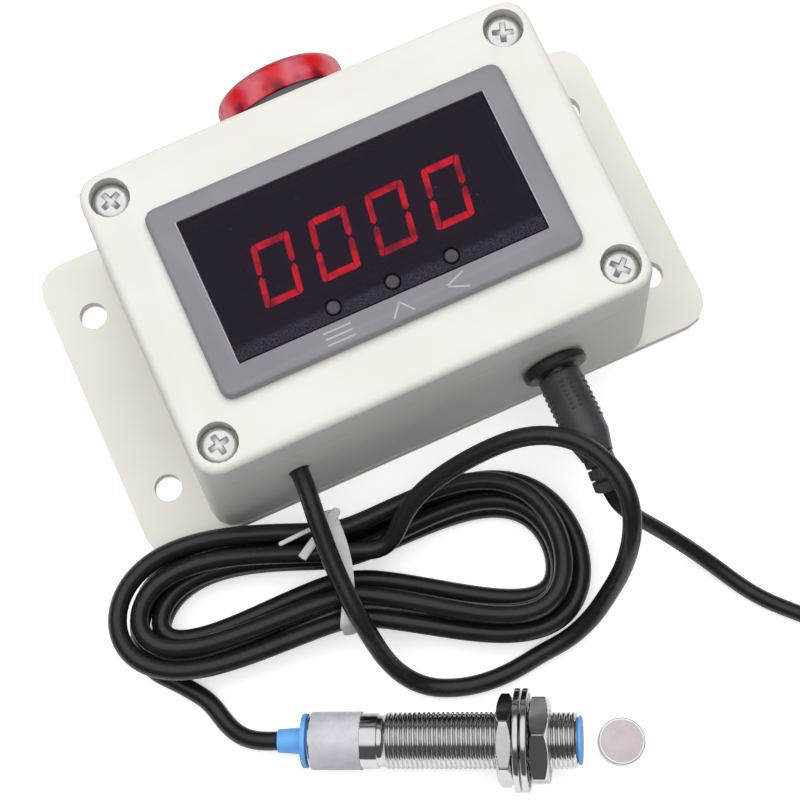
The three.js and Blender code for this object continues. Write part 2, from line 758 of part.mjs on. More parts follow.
// One straight bar of a digit, with pointed ends
function segmentOutline(length) {
  const half = segmentWidth / 2;
  const end = length / 2 - segmentGap;
  return [[-end, 0], [half - end, -half], [end - half, -half], [end, 0], [end - half, half], [half - end, half]];
}

function segmentBars() {
  const half = digitHeight / 2 - segmentWidth / 2;
  const side = digitWidth / 2 - segmentWidth / 2;
  const across = (y) => segmentOutline(side * 2).map(([x, v]) => [x, v + y]);
  const upright = (x, y) => segmentOutline(half).map(([u, v]) => [v + x, u + y]);
  return [
    across(half), across(0), across(-half), upright(-side, half / 2), upright(side, half / 2),
    upright(-side, -half / 2), upright(side, -half / 2),
  ];
}

function leaned([x, y]) {
  return new THREE.Vector2(x + y * digitSlant, y);
}

function raised(points, height, bottom) {
  const geometry = new THREE.ExtrudeGeometry(new THREE.Shape(points), { depth: height, bevelEnabled: false });
  return solid(geometry.translate(0, 0, bottom));
}

function makeDisplay(group) {
  const top = boardTop + housingHeight;
  let housing = block(housingLength, housingWidth, housingHeight - seatGap, 0, digitOffsetY, boardTop + seatGap);
  const cover = digitPitch * (digitCount - 1) + digitCellLength;
  housing = housing.subtract(block(cover, digitCellWidth, digitCellDepth + cutOverrun, 0, digitOffsetY,
    top - digitCellDepth));
  const slabBottom = top - digitCellDepth + seatGap;
  let segments = block(cover - seatGap * 2, digitCellWidth - seatGap * 2, digitSlabThickness, 0,
    digitOffsetY, slabBottom);
  for (let digit = 0; digit < digitCount; digit += 1) {
    const x = (digit - (digitCount - 1) / 2) * digitPitch;
    for (const bar of segmentBars()) {
      const points = bar.map(leaned);
      segments = segments.add(raised(points, segmentRise + seatGap, slabBottom + digitSlabThickness - seatGap)
        .translate([x, digitOffsetY, 0]));
    }
    const point = disc(pointDiameter, segmentRise + seatGap, x + digitWidth / 2 + segmentWidth / 2,
      digitOffsetY - digitHeight / 2 + segmentWidth / 2, slabBottom + digitSlabThickness - seatGap, pinSides);
    segments = segments.add(point);
  }
  add(group, 'digit_segments', segments, matte(0xd01c28, 0.4));
  add(group, 'digit_housing', housing, blackPlastic);
}

// The circuit board with what is soldered to it: key switches in front, controller and regulator behind
function makeBoard(group) {
  const under = boardTop - boardThickness;
  let board = block(boardLength, boardWidth, boardThickness, 0, 0, under);
  for (let key = 0; key < keyCount; key += 1) {
    const x = keyFirstX + key * keyPitch;
    board = board.add(block(switchSize, switchSize, switchHeight + cutOverrun, x, keyY, boardTop - cutOverrun));
    board = board.add(disc(switchPlungerDiameter, switchPlungerHeight + cutOverrun, x, keyY,
      boardTop + switchHeight - cutOverrun, pinSides));
  }
  board = board.add(block(controllerLength, controllerLength, controllerHeight + cutOverrun, controllerX,
    controllerY, under - controllerHeight));
  board = board.add(block(regulatorLength, regulatorWidth, controllerHeight + cutOverrun, regulatorX,
    regulatorY, under - controllerHeight));
  add(group, 'display_board', board, circuitGreen);
}

// Three sprung keys: each cap comes through the window over a switch on the board
function makeKeys(group) {
  const capTop = bezelThickness - lensSink + keyStandProud;
  const switchTop = boardTop + switchHeight;
  const capBottom = switchTop + switchPlungerHeight + keyTravel + seatGap;
  const collarTop = lensBottom - lensLedgeThickness - seatGap;
  for (let key = 0; key < keyCount; key += 1) {
    const x = keyFirstX + key * keyPitch;
    const cap = disc(keyDiameter, capTop - capBottom, x, keyY, capBottom, screwSides);
    const collar = disc(keyCollarDiameter, keyCollarThickness, x, keyY, collarTop - keyCollarThickness, screwSides);
    add(group, `key_${keyNames[key]}`, cap.add(collar), matte(0x3a3a3e, 0.6));
  }
}
const keyNames = ['set', 'up', 'shift'];

function makeTerminal(group) {
  const under = boardTop - boardThickness - seatGap;
  let terminal = block(terminalLength, terminalWidth, terminalHeight, rearPortX, rearPortY, under - terminalHeight);
  const pitch = terminalLength / terminalWays;
  for (let way = 0; way < terminalWays; way += 1) {
    const x = rearPortX + (way - (terminalWays - 1) / 2) * pitch;
    const port = pitch * terminalPortShare;
    terminal = terminal.subtract(block(port, terminalWidth, port, x, rearPortY - terminalWidth * terminalPortShare,
      under - terminalHeight + port));
  }
  add(group, 'terminal_block', terminal, matte(0x2f6b3c, 0.5));
}

// The wall leans out below the seam: half its width at a height
function wallY(z) {
  const share = (seamHeight - z) / seamHeight;
  return (seamWidth + (footWidth - seamWidth) * share) / 2;
}

// The nearest that a nut whose top is at a height comes to the wall's inner face
function innerWallY(z) {
  return wallY(z) - wallThickness - seatGap;
}

const beaconSeat = wallY(beaconZ - beaconSealDiameter / 2) + seatGap;
const jackSeat = wallY(jackZ - jackFlangeDiameter / 2) + seatGap;

// Local height 0 is where the beacon's seal meets the wall, and its barrel runs inwards, to -z
function makeBeacon(group) {
  const ringBottom = beaconSealThickness + seatGap;
  const ringTop = ringBottom + beaconRingThickness;
  const radius = beaconDiameter / 2;
  const barrel = beaconBarrelDiameter / 2;
  const bore = barrel - beaconBarrelWall;
  const pocket = beaconBoardDiameter / 2 + seatGap;
  const shelf = ringTop - beaconBoardThickness - seatGap * 2;
  const body = turned([
    [0, -beaconBarrelLength], [barrel, -beaconBarrelLength], [barrel, ringBottom], [radius, ringBottom],
    [radius, ringTop], [pocket, ringTop], [pocket, shelf], [bore, shelf],
    [bore, beaconBarrelWall - beaconBarrelLength], [0, beaconBarrelWall - beaconBarrelLength],
  ]);
  add(group, 'beacon_body', body, matte(0x58585c, 0.5));

  const sealBore = beaconBarrelDiameter / 2 + seatGap;
  add(group, 'beacon_seal', turned([
    [sealBore, 0], [beaconSealDiameter / 2, 0], [beaconSealDiameter / 2, beaconSealThickness],
    [sealBore, beaconSealThickness], [sealBore, 0],
  ]), sealRubber);

  const lensBase = ringTop + seatGap;
  const lensTop = lensBase + beaconLensDepth;
  const shoulder = (inset, lift) => [0, 1, 2, 3].map((step) => {
    const angle = (step / 3) * quarter;
    const bend = beaconLensRound - inset;
    return [
      radius - beaconLensRound + bend * Math.cos(angle),
      lensTop - beaconLensRound + bend * Math.sin(angle) + lift,
    ];
  });
  const outer = shoulder(0, 0);
  const inner = shoulder(beaconLensWall, 0).reverse();
  add(group, 'beacon_lens', turned([
    [radius - beaconLensWall, lensBase], [radius, lensBase], ...outer, [0, lensTop],
    [0, lensTop - beaconLensWall], ...inner, [radius - beaconLensWall, lensBase],
  ]), new THREE.MeshStandardMaterial({ color: 0xc41f2b, roughness: 0.25, transparent: true, opacity: 0.8 }));

  let board = disc(beaconBoardDiameter, beaconBoardThickness, 0, 0, shelf + seatGap);
  const ledBottom = shelf + beaconBoardThickness;
  for (let led = 0; led < beaconLedCount; led += 1) {
    const angle = ((led + 1 / 2) / beaconLedCount) * quarter * 4;
    const dome = turned([
      [0, 0], [beaconLedDiameter / 2, 0], [beaconLedDiameter / 2, beaconLedHeight / 2],
      [beaconLedDiameter / 3, beaconLedHeight * 5 / 6], [0, beaconLedHeight],
    ], pinSides);
    board = board.add(dome.translate([
      beaconLedRingRadius * Math.cos(angle), beaconLedRingRadius * Math.sin(angle), ledBottom]));
  }
  add(group, 'beacon_board', board, matte(0xe6e6e0, 0.6));
  add(group, 'sounder_disc', disc(sounderDiameter, sounderThickness, 0, 0, shelf - sounderSeatDepth), blackPlastic);

  const nut = hexNut(beaconNutAcross, beaconNutThickness, beaconNutBore, seatGap * 2);
  const nutMesh = add(group, 'beacon_nut', nut, blackPlastic);
  nutMesh.position.z = innerWallY(beaconZ + beaconNutAcross / 2) - beaconSeat - beaconNutThickness;
  nutMesh.rotation.z = quarter / 3;
  for (const [side, label] of [[-1, 'left'], [1, 'right']]) {
    const post = disc(beaconTerminalDiameter, beaconTerminalLength, 0, 0, 0, pinSides);
    const slot = block(beaconTerminalDiameter + cutOverrun, beaconTerminalSlot, beaconTerminalSlot + cutOverrun,
      0, 0, -cutOverrun);
    const mesh = add(group, `beacon_terminal_${label}`, post.subtract(slot), brass);
    mesh.position.set(side * beaconTerminalSpacing / 2, 0, -beaconBarrelLength - seatGap - beaconTerminalLength);
  }
}

// Local height 0 is the outer face of the socket's flange, and its barrel runs inwards, to -z
function makeJack(group) {
  const flange = jackFlangeDiameter / 2;
  const barrel = jackBarrelDiameter / 2;
  const mouth = jackMouthDiameter / 2;
  const pin = jackPinDiameter / 2;
  const bottom = -jackFlangeThickness - jackBarrelLength;
  const pinHole = pin + seatGap;
  add(group, 'jack_body', turned([
    [pinHole, bottom], [barrel, bottom], [barrel, -jackFlangeThickness], [flange, -jackFlangeThickness],
    [flange, -jackFlangeRound], [flange - jackFlangeRound, 0], [mouth, 0], [mouth, -jackMouthDepth],
    [pinHole, -jackMouthDepth], [pinHole, bottom],
  ], boreSides), blackPlastic);
  const pinTop = jackPinLength - jackMouthDepth;
  add(group, 'jack_pin', turned([
    [0, bottom - jackTagLength], [pin, bottom - jackTagLength], [pin, pinTop - pin], [pin / 2, pinTop], [0, pinTop],
  ], pinSides), brass);
  add(group, 'jack_contact', block(jackTagWidth, jackTagThickness, jackTagLength, 0, jackTagSpacing / 2,
    bottom - seatGap - jackTagLength), brass);
  const nut = hexNut(jackNutAcross, jackNutThickness, jackHoleDiameter, seatGap);
  const mesh = add(group, 'jack_nut', nut, steel);
  mesh.position.z = innerWallY(jackZ + jackNutAcross / 2) - jackSeat - jackFlangeThickness - jackNutThickness;
}

// Local +z points out of the socket, along the plug to its cord
function makePlug(group) {
  const radius = plugDiameter / 2;
  const neck = plugNeckDiameter / 2;
  const relief = reliefDiameter / 2;
  let grip = turned([
    [0, 0], [radius - plugEdgeRound, 0], [radius, plugEdgeRound], [radius, plugGripLength],
    [neck, plugGripLength + plugNeckLength], [relief, plugGripLength + plugNeckLength],
    [0, plugGripLength + plugNeckLength],
  ], boreSides);
  const pitch = plugRibWidth * 2;
  for (let rib = 0; rib < plugRibCount; rib += 1) {
    for (let face = 0; face < plugGripFaces; face += 1) {
      const bar = block(plugRibArcWidth, radius / 2, plugRibWidth, 0, radius * 3 / 4 + plugRibProud,
        plugRibStart + rib * pitch);
      grip = grip.add(bar.rotate([0, 0, (face * 4 + 2) * 90 / plugGripFaces]));
    }
  }
  grip = grip.subtract(disc(plugBarrelDiameter + seatGap * 2, plugBarrelDiameter, 0, 0, -cutOverrun, boreSides));
  add(group, 'plug_grip', grip, cordJacket);
  const outer = plugBarrelDiameter / 2;
  const inner = plugBarrelBore / 2;
  const root = plugBarrelDiameter - cutOverrun - seatGap;
  add(group, 'plug_barrel', turned([
    [0, root], [outer, root], [outer, -plugBarrelLength], [inner, -plugBarrelLength],
    [inner, 0], [0, 0],
  ], boreSides), steel);
}

function makePlugRelief(group) {
  const curve = smooth(reliefRoute);
  const steps = reliefRibCount * 4 + 2;
  const points = curve.getSpacedPoints(steps);
  const radii = points.map((_, i) => {
    const onRib = i > 1 && i < steps && (i - 2) % 4 < 2;
    return (onRib ? reliefRibDiameter : reliefDiameter) / 2;
  });
  add(group, 'plug_relief', wound(points, radii, pinSides), cordJacket);
}

// A flat spiral that runs in, climbs a layer in the half turn where it reverses, and runs out again
function coilPoints(perTurn) {
  const steps = Math.round(coilTurns * perTurn);
  const half = coilTurns / coilLayers;
  return Array.from({ length: steps + 1 }, (_, i) => {
    const turn = (i / steps) * coilTurns;
    const radius = coilRadius - coilPitch * (half - Math.abs(turn - half));
    const angle = radians(coilStartAngle) + turn * quarter * 4;
    const lift = THREE.MathUtils.smoothstep(turn, half - 1 / 4, half + 1 / 4);
    return new THREE.Vector3(
      coilCentreX + radius * Math.cos(angle), coilCentreY + radius * Math.sin(angle),
      powerCordDiameter / 2 + seatGap / 6 + lift * coilPitch);
  });
}

function makePowerCord(group) {
  const lead = tube(smooth(powerLeadRoute), powerCordDiameter, powerCordSides, powerLeadRoute.length + 4);
  add(group, 'power_cord_lead', lead, cordJacket);
  const points = withStraightEnds(coilPoints(stepsPerLoop), powerCordDiameter);
  add(group, 'power_cord_coil', wound(points, points.map(() => powerCordDiameter / 2), loopSides), cordJacket);
  const fine = coilPoints(stepsPerLoop * 4);
  console.log('power cord coil, least gap to itself', leastGap(fine, powerCordDiameter, stepsPerLoop * 2).toFixed(2));
  const tail = tube(smooth(powerTailRoute), powerCordDiameter, powerCordSides, powerTailRoute.length);
  add(group, 'power_cord_tail', tail, cordJacket);
}

// Local origin is the middle of the adapter's underside, its cord enters at -Y and its blades leave at +Y
function makeAdapter(group) {
  const half = adapterLength / 2;
  const split = half - adapterCoverThickness;
  const upright = (body) => body.rotate([-90, 0, 0]).translate([0, 0, adapterHeight / 2]);
  const round = adapterCornerRadius;
  const shellDepth = split + half;
  let shellBody = loft([
    [-half, adapterWidth - round, adapterHeight - round, round],
    [round / 2 - half, adapterWidth, adapterHeight, round], [split, adapterWidth, adapterHeight, round],
  ]);
  shellBody = shellBody.subtract(plate(adapterWidth - adapterWall * 2, adapterHeight - adapterWall * 2,
    round - adapterWall, adapterWall - half, shellDepth));
  shellBody = shellBody.subtract(disc(adapterGlandDiameter, adapterWall * 3, 0, 0, -half - adapterWall, boreSides));
  const casing = matte(0x232326, 0.55);
  add(group, 'adapter_shell', upright(shellBody), casing);

  let cover = loft([
    [split + seatGap, adapterWidth, adapterHeight, round], [half - round / 2, adapterWidth, adapterHeight, round],
    [half, adapterWidth - round, adapterHeight - round, round],
  ]);
  for (const side of [-1, 1]) {
    cover = cover.subtract(block(bladeThickness + seatGap * 2, bladeWidth + seatGap * 2,
      adapterCoverThickness + cutOverrun * 2, side * bladeSpacing / 2, 0, split - cutOverrun));
  }
  add(group, 'adapter_cover', upright(cover), casing);
  for (const [side, label] of [[-1, 'left'], [1, 'right']]) {
    const blade = block(bladeThickness, bladeWidth, bladeLength + adapterCoverThickness + bladeRoot,
      side * bladeSpacing / 2, 0, split - bladeRoot);
    add(group, `adapter_blade_${label}`, upright(blade), steel);
  }
  const gland = adapterGlandDiameter / 2 - seatGap;
  const bore = powerCordDiameter / 4;
  const wide = gland + adapterGlandFlange;
  add(group, 'adapter_gland', upright(turned([
    [bore, -half - adapterGlandLength], [gland - seatGap * 2, -half - adapterGlandLength], [gland, -half],
    [gland, adapterWall - half + seatGap], [wide, adapterWall - half + seatGap],
    [wide, adapterWall - half + seatGap + adapterGlandFlange],
    [bore, adapterWall - half + seatGap + adapterGlandFlange], [bore, -half - adapterGlandLength],
  ], boreSides)), cordJacket);
}

// Local +z runs along the sensor to its sensing face, from the back of the blue tail cap
function makeSensor(group) {
  const chrome = matte(0xc9ccd1, 0.2, 1);
  const blue = matte(0x2159a8, 0.45);
  const radius = sensorDiameter / 2;
  const smoothRadius = sensorBarrelDiameter / 2;
  const bore = radius - sensorWall;
  const start = tailCapLength + seatGap;
  const end = start + sensorLength - tailCapLength;
  const relief = threadReliefDiameter / 2;
  const sleeve = start + sensorSleeveLength;
  add(group, 'sensor_barrel', turned([
    [bore, start], [smoothRadius - seatGap, start], [smoothRadius, start + seatGap], [smoothRadius, sleeve],
    [relief, sleeve], [relief, sleeve + threadReliefLength], [radius, sleeve + threadReliefLength + radius - relief],
    [radius, end - sensorWall], [radius - sensorWall / 2, end], [bore, end], [bore, start],
  ]), chrome);
  const spigot = bore - seatGap;
  const cordBore = sensorCordDiameter / 2 + seatGap;
  add(group, 'sensor_tail_cap', turned([
    [cordBore / 2, -tailTubeLength], [tailTubeEndDiameter / 2, -tailTubeLength], [tailTubeDiameter / 2, 0],
    [tailCapDiameter / 2, 0], [tailCapDiameter / 2, tailCapLength], [spigot, tailCapLength],
    [spigot, tailCapLength + capSpigotLength], [cordBore / 2, tailCapLength + capSpigotLength],
    [cordBore / 2, -tailTubeLength],
  ]), blue);
  add(group, 'sensor_face_cap', turned([
    [0, end - capSpigotLength], [spigot, end - capSpigotLength], [spigot, end + seatGap],
    [faceCapDiameter / 2, end + seatGap], [faceCapDiameter / 2, end + faceCapLength - seatGap],
    [faceCapDiameter / 2 - seatGap, end + faceCapLength], [0, end + faceCapLength],
  ]), blue);
  const labelBore = smoothRadius + seatGap / 6;
  add(group, 'sensor_label', turned([
    [labelBore, start + labelStart], [labelBore + labelThickness, start + labelStart],
    [labelBore + labelThickness, start + labelStart + labelLength], [labelBore, start + labelStart + labelLength],
    [labelBore, start + labelStart],
  ]), matte(0xd9dadd, 0.35));
  const boardStart = tailCapLength + capSpigotLength + seatGap;
  const boardLengthHere = Math.min(sensorBoardLength, end - capSpigotLength - seatGap - boardStart);
  add(group, 'sensor_board', block(sensorBoardThickness, sensorBoardWidth, boardLengthHere, 0, 0,
    end - capSpigotLength - seatGap - boardLengthHere), circuitGreen);

  const nut = (thickness) => hexNut(nutAcrossFlats, thickness, nutBore, seatGap * 3);
  const rear = add(group, 'rear_nut', nut(rearNutThickness), chrome);
  rear.position.z = rearNutStart;
  rear.rotation.z = quarter / 3 + radians(rearNutTurn);
  const washer = () => turned([
    [nutBore / 2, 0], [washerOuterDiameter / 2, 0], [washerOuterDiameter / 2, washerThickness],
    [nutBore / 2, washerThickness], [nutBore / 2, 0],
  ]);
  const rearWasher = add(group, 'rear_washer', washer(), chrome);
  rearWasher.position.z = rearNutStart + rearNutThickness + seatGap;
  const frontWasher = add(group, 'front_washer', washer(), chrome);
  frontWasher.position.z = rearWasher.position.z + washerThickness + seatGap;
  const front = add(group, 'front_nut', nut(frontNutThickness), chrome);
  front.position.z = frontWasher.position.z + washerThickness + seatGap;
  front.rotation.z = quarter / 3;
}

function makeMagnet(group) {
  const radius = magnetDiameter / 2;
  const magnet = turned([
    [0, 0], [radius - magnetChamfer, 0], [radius, magnetChamfer], [radius, magnetThickness - magnetChamfer],
    [radius - magnetChamfer, magnetThickness], [0, magnetThickness],
  ]);
  add(group, 'target_magnet', magnet, matte(0xd4d2cc, 0.2, 1)).position.set(magnetX, magnetY, 0);
}

// Which layer a turn of the hank lies in: it climbs in the half turn around each reversal
const firstReversal = (hankEndAngle - hankClimbAngle) / 360 + hankLayerLoops;
function hankLayer(turn) {
  const climb = (at) => THREE.MathUtils.smoothstep(turn, at - 1 / 4, at + 1 / 4);
  return climb(firstReversal) + climb(firstReversal + hankLayerLoops);
}

// How far a turn lies inside the outermost loop: in, out and in again at a steady rate
function hankInset(turn) {
  const second = firstReversal + hankLayerLoops;
  const out = firstReversal - hankLayerLoops;
  const inward = turn < firstReversal ? turn : firstReversal - (turn - firstReversal);
  return hankPitch * (turn < second ? inward : out + (turn - second));
}

// The outer loop is drawn in at the waist and spreads into a lobe each side
function hankOutline(angle, layer) {
  const cosine = Math.cos(angle);
  const right = cosine > 0;
  const bulge = Math.abs(cosine) ** (4 / 3);
  const spread = right ? hankSpreadRight : hankSpreadLeft;
  const shift = right ? hankShiftRight : hankShiftLeft + layer * hankShiftPerLayer;
  const reach = right ? hankReachRight - layer * hankReachPerLayer : hankReachLeft + layer * hankReachPerLayer;
  return new THREE.Vector2(
    reach * cosine,
    Math.sin(angle) * (hankWaist + (spread - hankWaist) * bulge) + shift * cosine * cosine);
}

function hankPoint(turn) {
  const angle = radians(hankEndAngle) - turn * quarter * 4;
  const layer = hankLayer(turn);
  const small = quarter / 400;
  const ahead = hankOutline(angle + small, layer);
  const behind = hankOutline(angle - small, layer);
  const along = ahead.clone().sub(behind).normalize();
  const inset = hankInset(turn);
  const flat = hankOutline(angle, layer);
  flat.x -= along.y * inset;
  flat.y += along.x * inset;
  flat.rotateAround(new THREE.Vector2(0, 0), radians(hankYaw));
  const waistLift = (tieThickness + seatGap) * Math.sin(angle) ** 4;
  const z = sensorCordDiameter / 2 + seatGap / 6 + waistLift + layer * hankPitch;
  return new THREE.Vector3(hankX + flat.x, hankY + flat.y, z);
}

function hankPoints(perLoop) {
  const steps = Math.round(hankLoops * perLoop);
  return Array.from({ length: steps + 1 }, (_, i) => hankPoint((i / steps) * hankLoops));
}

function makeSensorCord(group) {
  const leadCurve = smooth(sensorLeadRoute);
  const leadSteps = Math.round(leadCurve.getLength() / (sensorCordDiameter * cordStepDiameters));
  const lead = tube(leadCurve, sensorCordDiameter, sensorCordSides, leadSteps);
  add(group, 'sensor_cord_lead', lead, cordJacket);
  const points = withStraightEnds(hankPoints(stepsPerLoop), sensorCordDiameter);
  add(group, 'sensor_cord_hank', wound(points, points.map(() => sensorCordDiameter / 2), loopSides), cordJacket);
  const fine = hankPoints(stepsPerLoop * 4);
  console.log('sensor cord hank, least gap to itself', leastGap(fine, sensorCordDiameter, stepsPerLoop).toFixed(2));
  const tail = tube(smooth(sensorTailRoute), sensorCordDiameter, sensorCordSides, sensorTailRoute.length);
  add(group, 'sensor_cord_tail', tail, cordJacket);
  const jacket = sensorCordDiameter + seatGap * 2;
  const band = disc(jacket + cableTieThickness * 2, cableTieWidth, 0, 0, 0, boreSides)
    .add(block(cableTieWidth, cableTieThickness * 2, cableTieWidth, 0, jacket / 2 + cableTieThickness, 0))
    .subtract(disc(jacket, cableTieWidth + cutOverrun * 2, 0, 0, -cutOverrun, boreSides));
  const mesh = add(group, 'cable_tie', band, matte(0xe8e8e4, 0.5));
  mesh.position.set(cordHoleX, wallThickness + cableTieWidth + seatGap * 2 - wallY(cordHoleZ), cordHoleZ);
  mesh.rotation.x = quarter;
}

// How far the hank's centreline lies each side of its middle line, under the tie
function waistReach() {
  const middle = new THREE.Vector2(0, 0);
  const across = hankPoints(stepsPerLoop * 4)
    .map((point) => new THREE.Vector2(point.x - hankX, point.y - hankY).rotateAround(middle, -radians(hankYaw)))
    .filter((point) => Math.abs(point.x) < tieWidth)
    .map((point) => point.y);
  return [Math.min(...across), Math.max(...across)];
}

// A flat white tie round the hank's waist, with its two ends laid off to the left on top
function makeHankTie(group) {
  const reach = sensorCordDiameter / 2 + seatGap;
  const [least, most] = waistReach();
  const width = most - least + reach * 2;
  const height = hankPitch * hankLayerLoops + sensorCordDiameter + seatGap * 2;
  const inside = plate(width, height, reach, -cutOverrun, tieWidth + cutOverrun * 2);
  const outside = plate(width + tieThickness * 2, height + tieThickness * 2, reach + tieThickness, 0, tieWidth);
  let tie = outside.subtract(inside);
  const end = block(tieTailWidth, tieTailThickness, tieTailLength + tieWidth / 2, 0, 0, -tieTailLength);
  for (const side of [-1, 1]) {
    const tail = end.rotate([0, side * tieTailSplay, 0])
      .translate([width * tieTailShare, height / 2 + tieThickness / 2 + tieTailThickness / 2, tieWidth / 2]);
    tie = tie.add(tail);
  }
  const mesh = add(group, 'hank_tie', tie, matte(0xe9e7ea, 0.6));
  mesh.rotation.set(quarter, quarter, 0);
  mesh.position.set(-tieWidth / 2, (least + most) / 2, tieThickness + height / 2);
}

// A route with its first point brought to a place along y, its last point kept, and the others in proportion
function startedAt(route, y) {
  const shift = y - route[0][1];
  return route.map((point, index) => {
    const share = 1 - index / (route.length - 1);
    return [point[0], point[1] + shift * share, point[2]];
  });
}

function makeWiring(group) {
  const jacket = matte(0x8a2f2f, 0.6);
  const supplyStart = jackBarrelLength - jackSeat + supplyCoreReach;
  const beaconStart = beaconSeat - beaconBarrelLength - seatGap - beaconTerminalLength - beaconCoreReach;
  for (const [name, route] of [
    ['sensor_cores', sensorCoreRoute],
    ['supply_cores', startedAt(supplyCoreRoute, supplyStart)],
    ['beacon_cores', startedAt(beaconCoreRoute, beaconStart)],
  ]) {
    add(group, name, solid(strip(route, coreHeight, coreThickness, route.length * 2)), jacket);
  }
}

function subGroup(parent, x, y, z, rotationX = 0, rotationY = 0, rotationZ = 0) {
  const group = new THREE.Group();
  group.position.set(x, y, z);
  group.rotation.set(rotationX, rotationY, rotationZ);
  parent.add(group);
  return group;
}

makeBase(tachometer);
makeLid(tachometer);
makeLidScrews(tachometer);

const meter = subGroup(tachometer, 0, 0, boxHeight + seatGap);
makeMeterCase(meter);
makeMeterClips(meter);
makeDisplay(meter);
makeKeys(meter);
makeBoard(meter);
makeTerminal(meter);

makeBeacon(subGroup(tachometer, beaconX, beaconSeat, beaconZ, -quarter));

makeJack(subGroup(tachometer, jackX, -jackSeat - jackFlangeThickness, jackZ, quarter));
makePlug(subGroup(tachometer, jackX, -jackSeat - jackFlangeThickness - plugRestGap, jackZ, quarter));
makePlugRelief(tachometer);
makePowerCord(tachometer);
makeAdapter(subGroup(tachometer, adapterX, adapterY, 0));

const sensorSite = subGroup(tachometer, sensorX, sensorY, sensorZ, 0, 0, radians(sensorYaw));
makeSensor(subGroup(sensorSite, 0, 0, 0, 0, quarter - radians(sensorTilt), 0));
makeMagnet(tachometer);
makeSensorCord(tachometer);
makeHankTie(subGroup(tachometer, hankX, hankY, 0, 0, 0, radians(hankYaw)));
makeWiring(tachometer);

export default tachometer;
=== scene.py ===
"""A digital tachometer kit, dressed and lit for its portrait.

Lengths are written in millimetres and turned to metres by MM. The box's mounting face lies on z = 0, the display
faces +Z and the cords leave at -Y.
"""

import logging
import math
from dataclasses import dataclass
from enum import StrEnum
from functools import partial
from typing import Any, Callable, Mapping, Optional, Sequence, Union

import bmesh
import bpy
import numpy as np
from mathutils import Matrix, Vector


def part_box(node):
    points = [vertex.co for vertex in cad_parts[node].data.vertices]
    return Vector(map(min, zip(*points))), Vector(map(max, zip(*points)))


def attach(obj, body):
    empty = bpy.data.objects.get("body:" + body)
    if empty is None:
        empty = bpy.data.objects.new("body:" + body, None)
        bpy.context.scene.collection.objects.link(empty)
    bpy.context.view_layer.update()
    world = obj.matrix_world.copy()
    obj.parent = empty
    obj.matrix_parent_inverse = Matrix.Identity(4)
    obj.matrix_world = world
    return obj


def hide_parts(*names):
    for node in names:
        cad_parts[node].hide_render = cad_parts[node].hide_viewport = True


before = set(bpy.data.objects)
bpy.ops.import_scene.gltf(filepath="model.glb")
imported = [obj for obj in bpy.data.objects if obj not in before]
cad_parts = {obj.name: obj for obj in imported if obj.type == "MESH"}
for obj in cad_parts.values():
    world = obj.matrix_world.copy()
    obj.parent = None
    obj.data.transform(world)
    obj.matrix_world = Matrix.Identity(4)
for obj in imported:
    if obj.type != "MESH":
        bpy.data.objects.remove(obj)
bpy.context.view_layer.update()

LOG = logging.getLogger("tachometer")
MM = 0.001
TURN = 2 * math.pi
BLEND = {"data_type": "RGBA"}
EASED = {"interpolation_type": "SMOOTHSTEP"}

Array = np.ndarray
Tree = bpy.types.NodeTree
Node = bpy.types.Node
Piece = bpy.types.Object
Vector3 = tuple[float, float, float]
Profile = tuple[tuple[float, float], ...]
Adder = Callable[..., Node]

# The bodies that pieces ride on, and the record's material slots; each member's value is its name in small letters
Body = StrEnum("Body", "ROOT KEY_SET KEY_UP KEY_SHIFT REAR_NUT REAR_WASHER FRONT_WASHER FRONT_NUT POWER_LEAD")
Slot = StrEnum(
    "Slot",
    "CREAM_ABS SEAL_RUBBER ZINC_STEEL BRASS BEZEL_GREY SMOKED_WINDOW BLACK_PLASTIC SEGMENT_RED KEY_DARK CIRCUIT_GREEN "
    "TERMINAL_GREEN BEACON_RED BEACON_GREY CIRCUIT_WHITE CORD_JACKET ADAPTER_BLACK POLISHED_CHROME SENSOR_BLUE "
    "LABEL_SILVER MAGNET_NICKEL TIE_WHITE CORE_JACKET",
)


# Finishes


def linear(hex_colour: str) -> tuple[float, float, float, float]:
    """Turns an sRGB hex colour to linear light.

    Args:
        hex_colour: six hex digits after a hash.

    Returns:
        Red, green and blue in linear light, with a full alpha.
    """
    shares = np.array([int(hex_colour[i : i + 2], 16) for i in (1, 3, 5)]) / 255
    light = np.where(shares <= 0.04045, shares / 12.92, ((shares + 0.055) / 1.055) ** 2.4)
    return (*(float(v) for v in light), 1.0)


def add_node(tree: Tree, kind: str, inputs: Union[Sequence[Any], Mapping[str, Any]] = (), **settings: str) -> Node:
    """Adds one node with its settings, values and links.

    Args:
        tree: the node tree that it goes into.
        kind: the node's type name after ShaderNode.
        inputs: values for its first sockets in use, or by socket name. A socket there feeds it, and so does a node,
            by its first output in use.
        **settings: properties of the node itself.

    Returns:
        The new node.
    """
    made = tree.nodes.new(f"ShaderNode{kind}")
    for key, value in settings.items():
        setattr(made, key, value)
    if isinstance(inputs, Mapping):
        pairs = [(made.inputs[key], value) for key, value in inputs.items()]
    else:
        pairs = list(zip([socket for socket in made.inputs if socket.enabled], inputs))
    for socket, value in pairs:
        if isinstance(value, Node):
            value = next(output for output in value.outputs if output.enabled)
        if isinstance(value, bpy.types.NodeSocket):
            tree.links.new(value, socket)
        else:
            socket.default_value = value
    return made


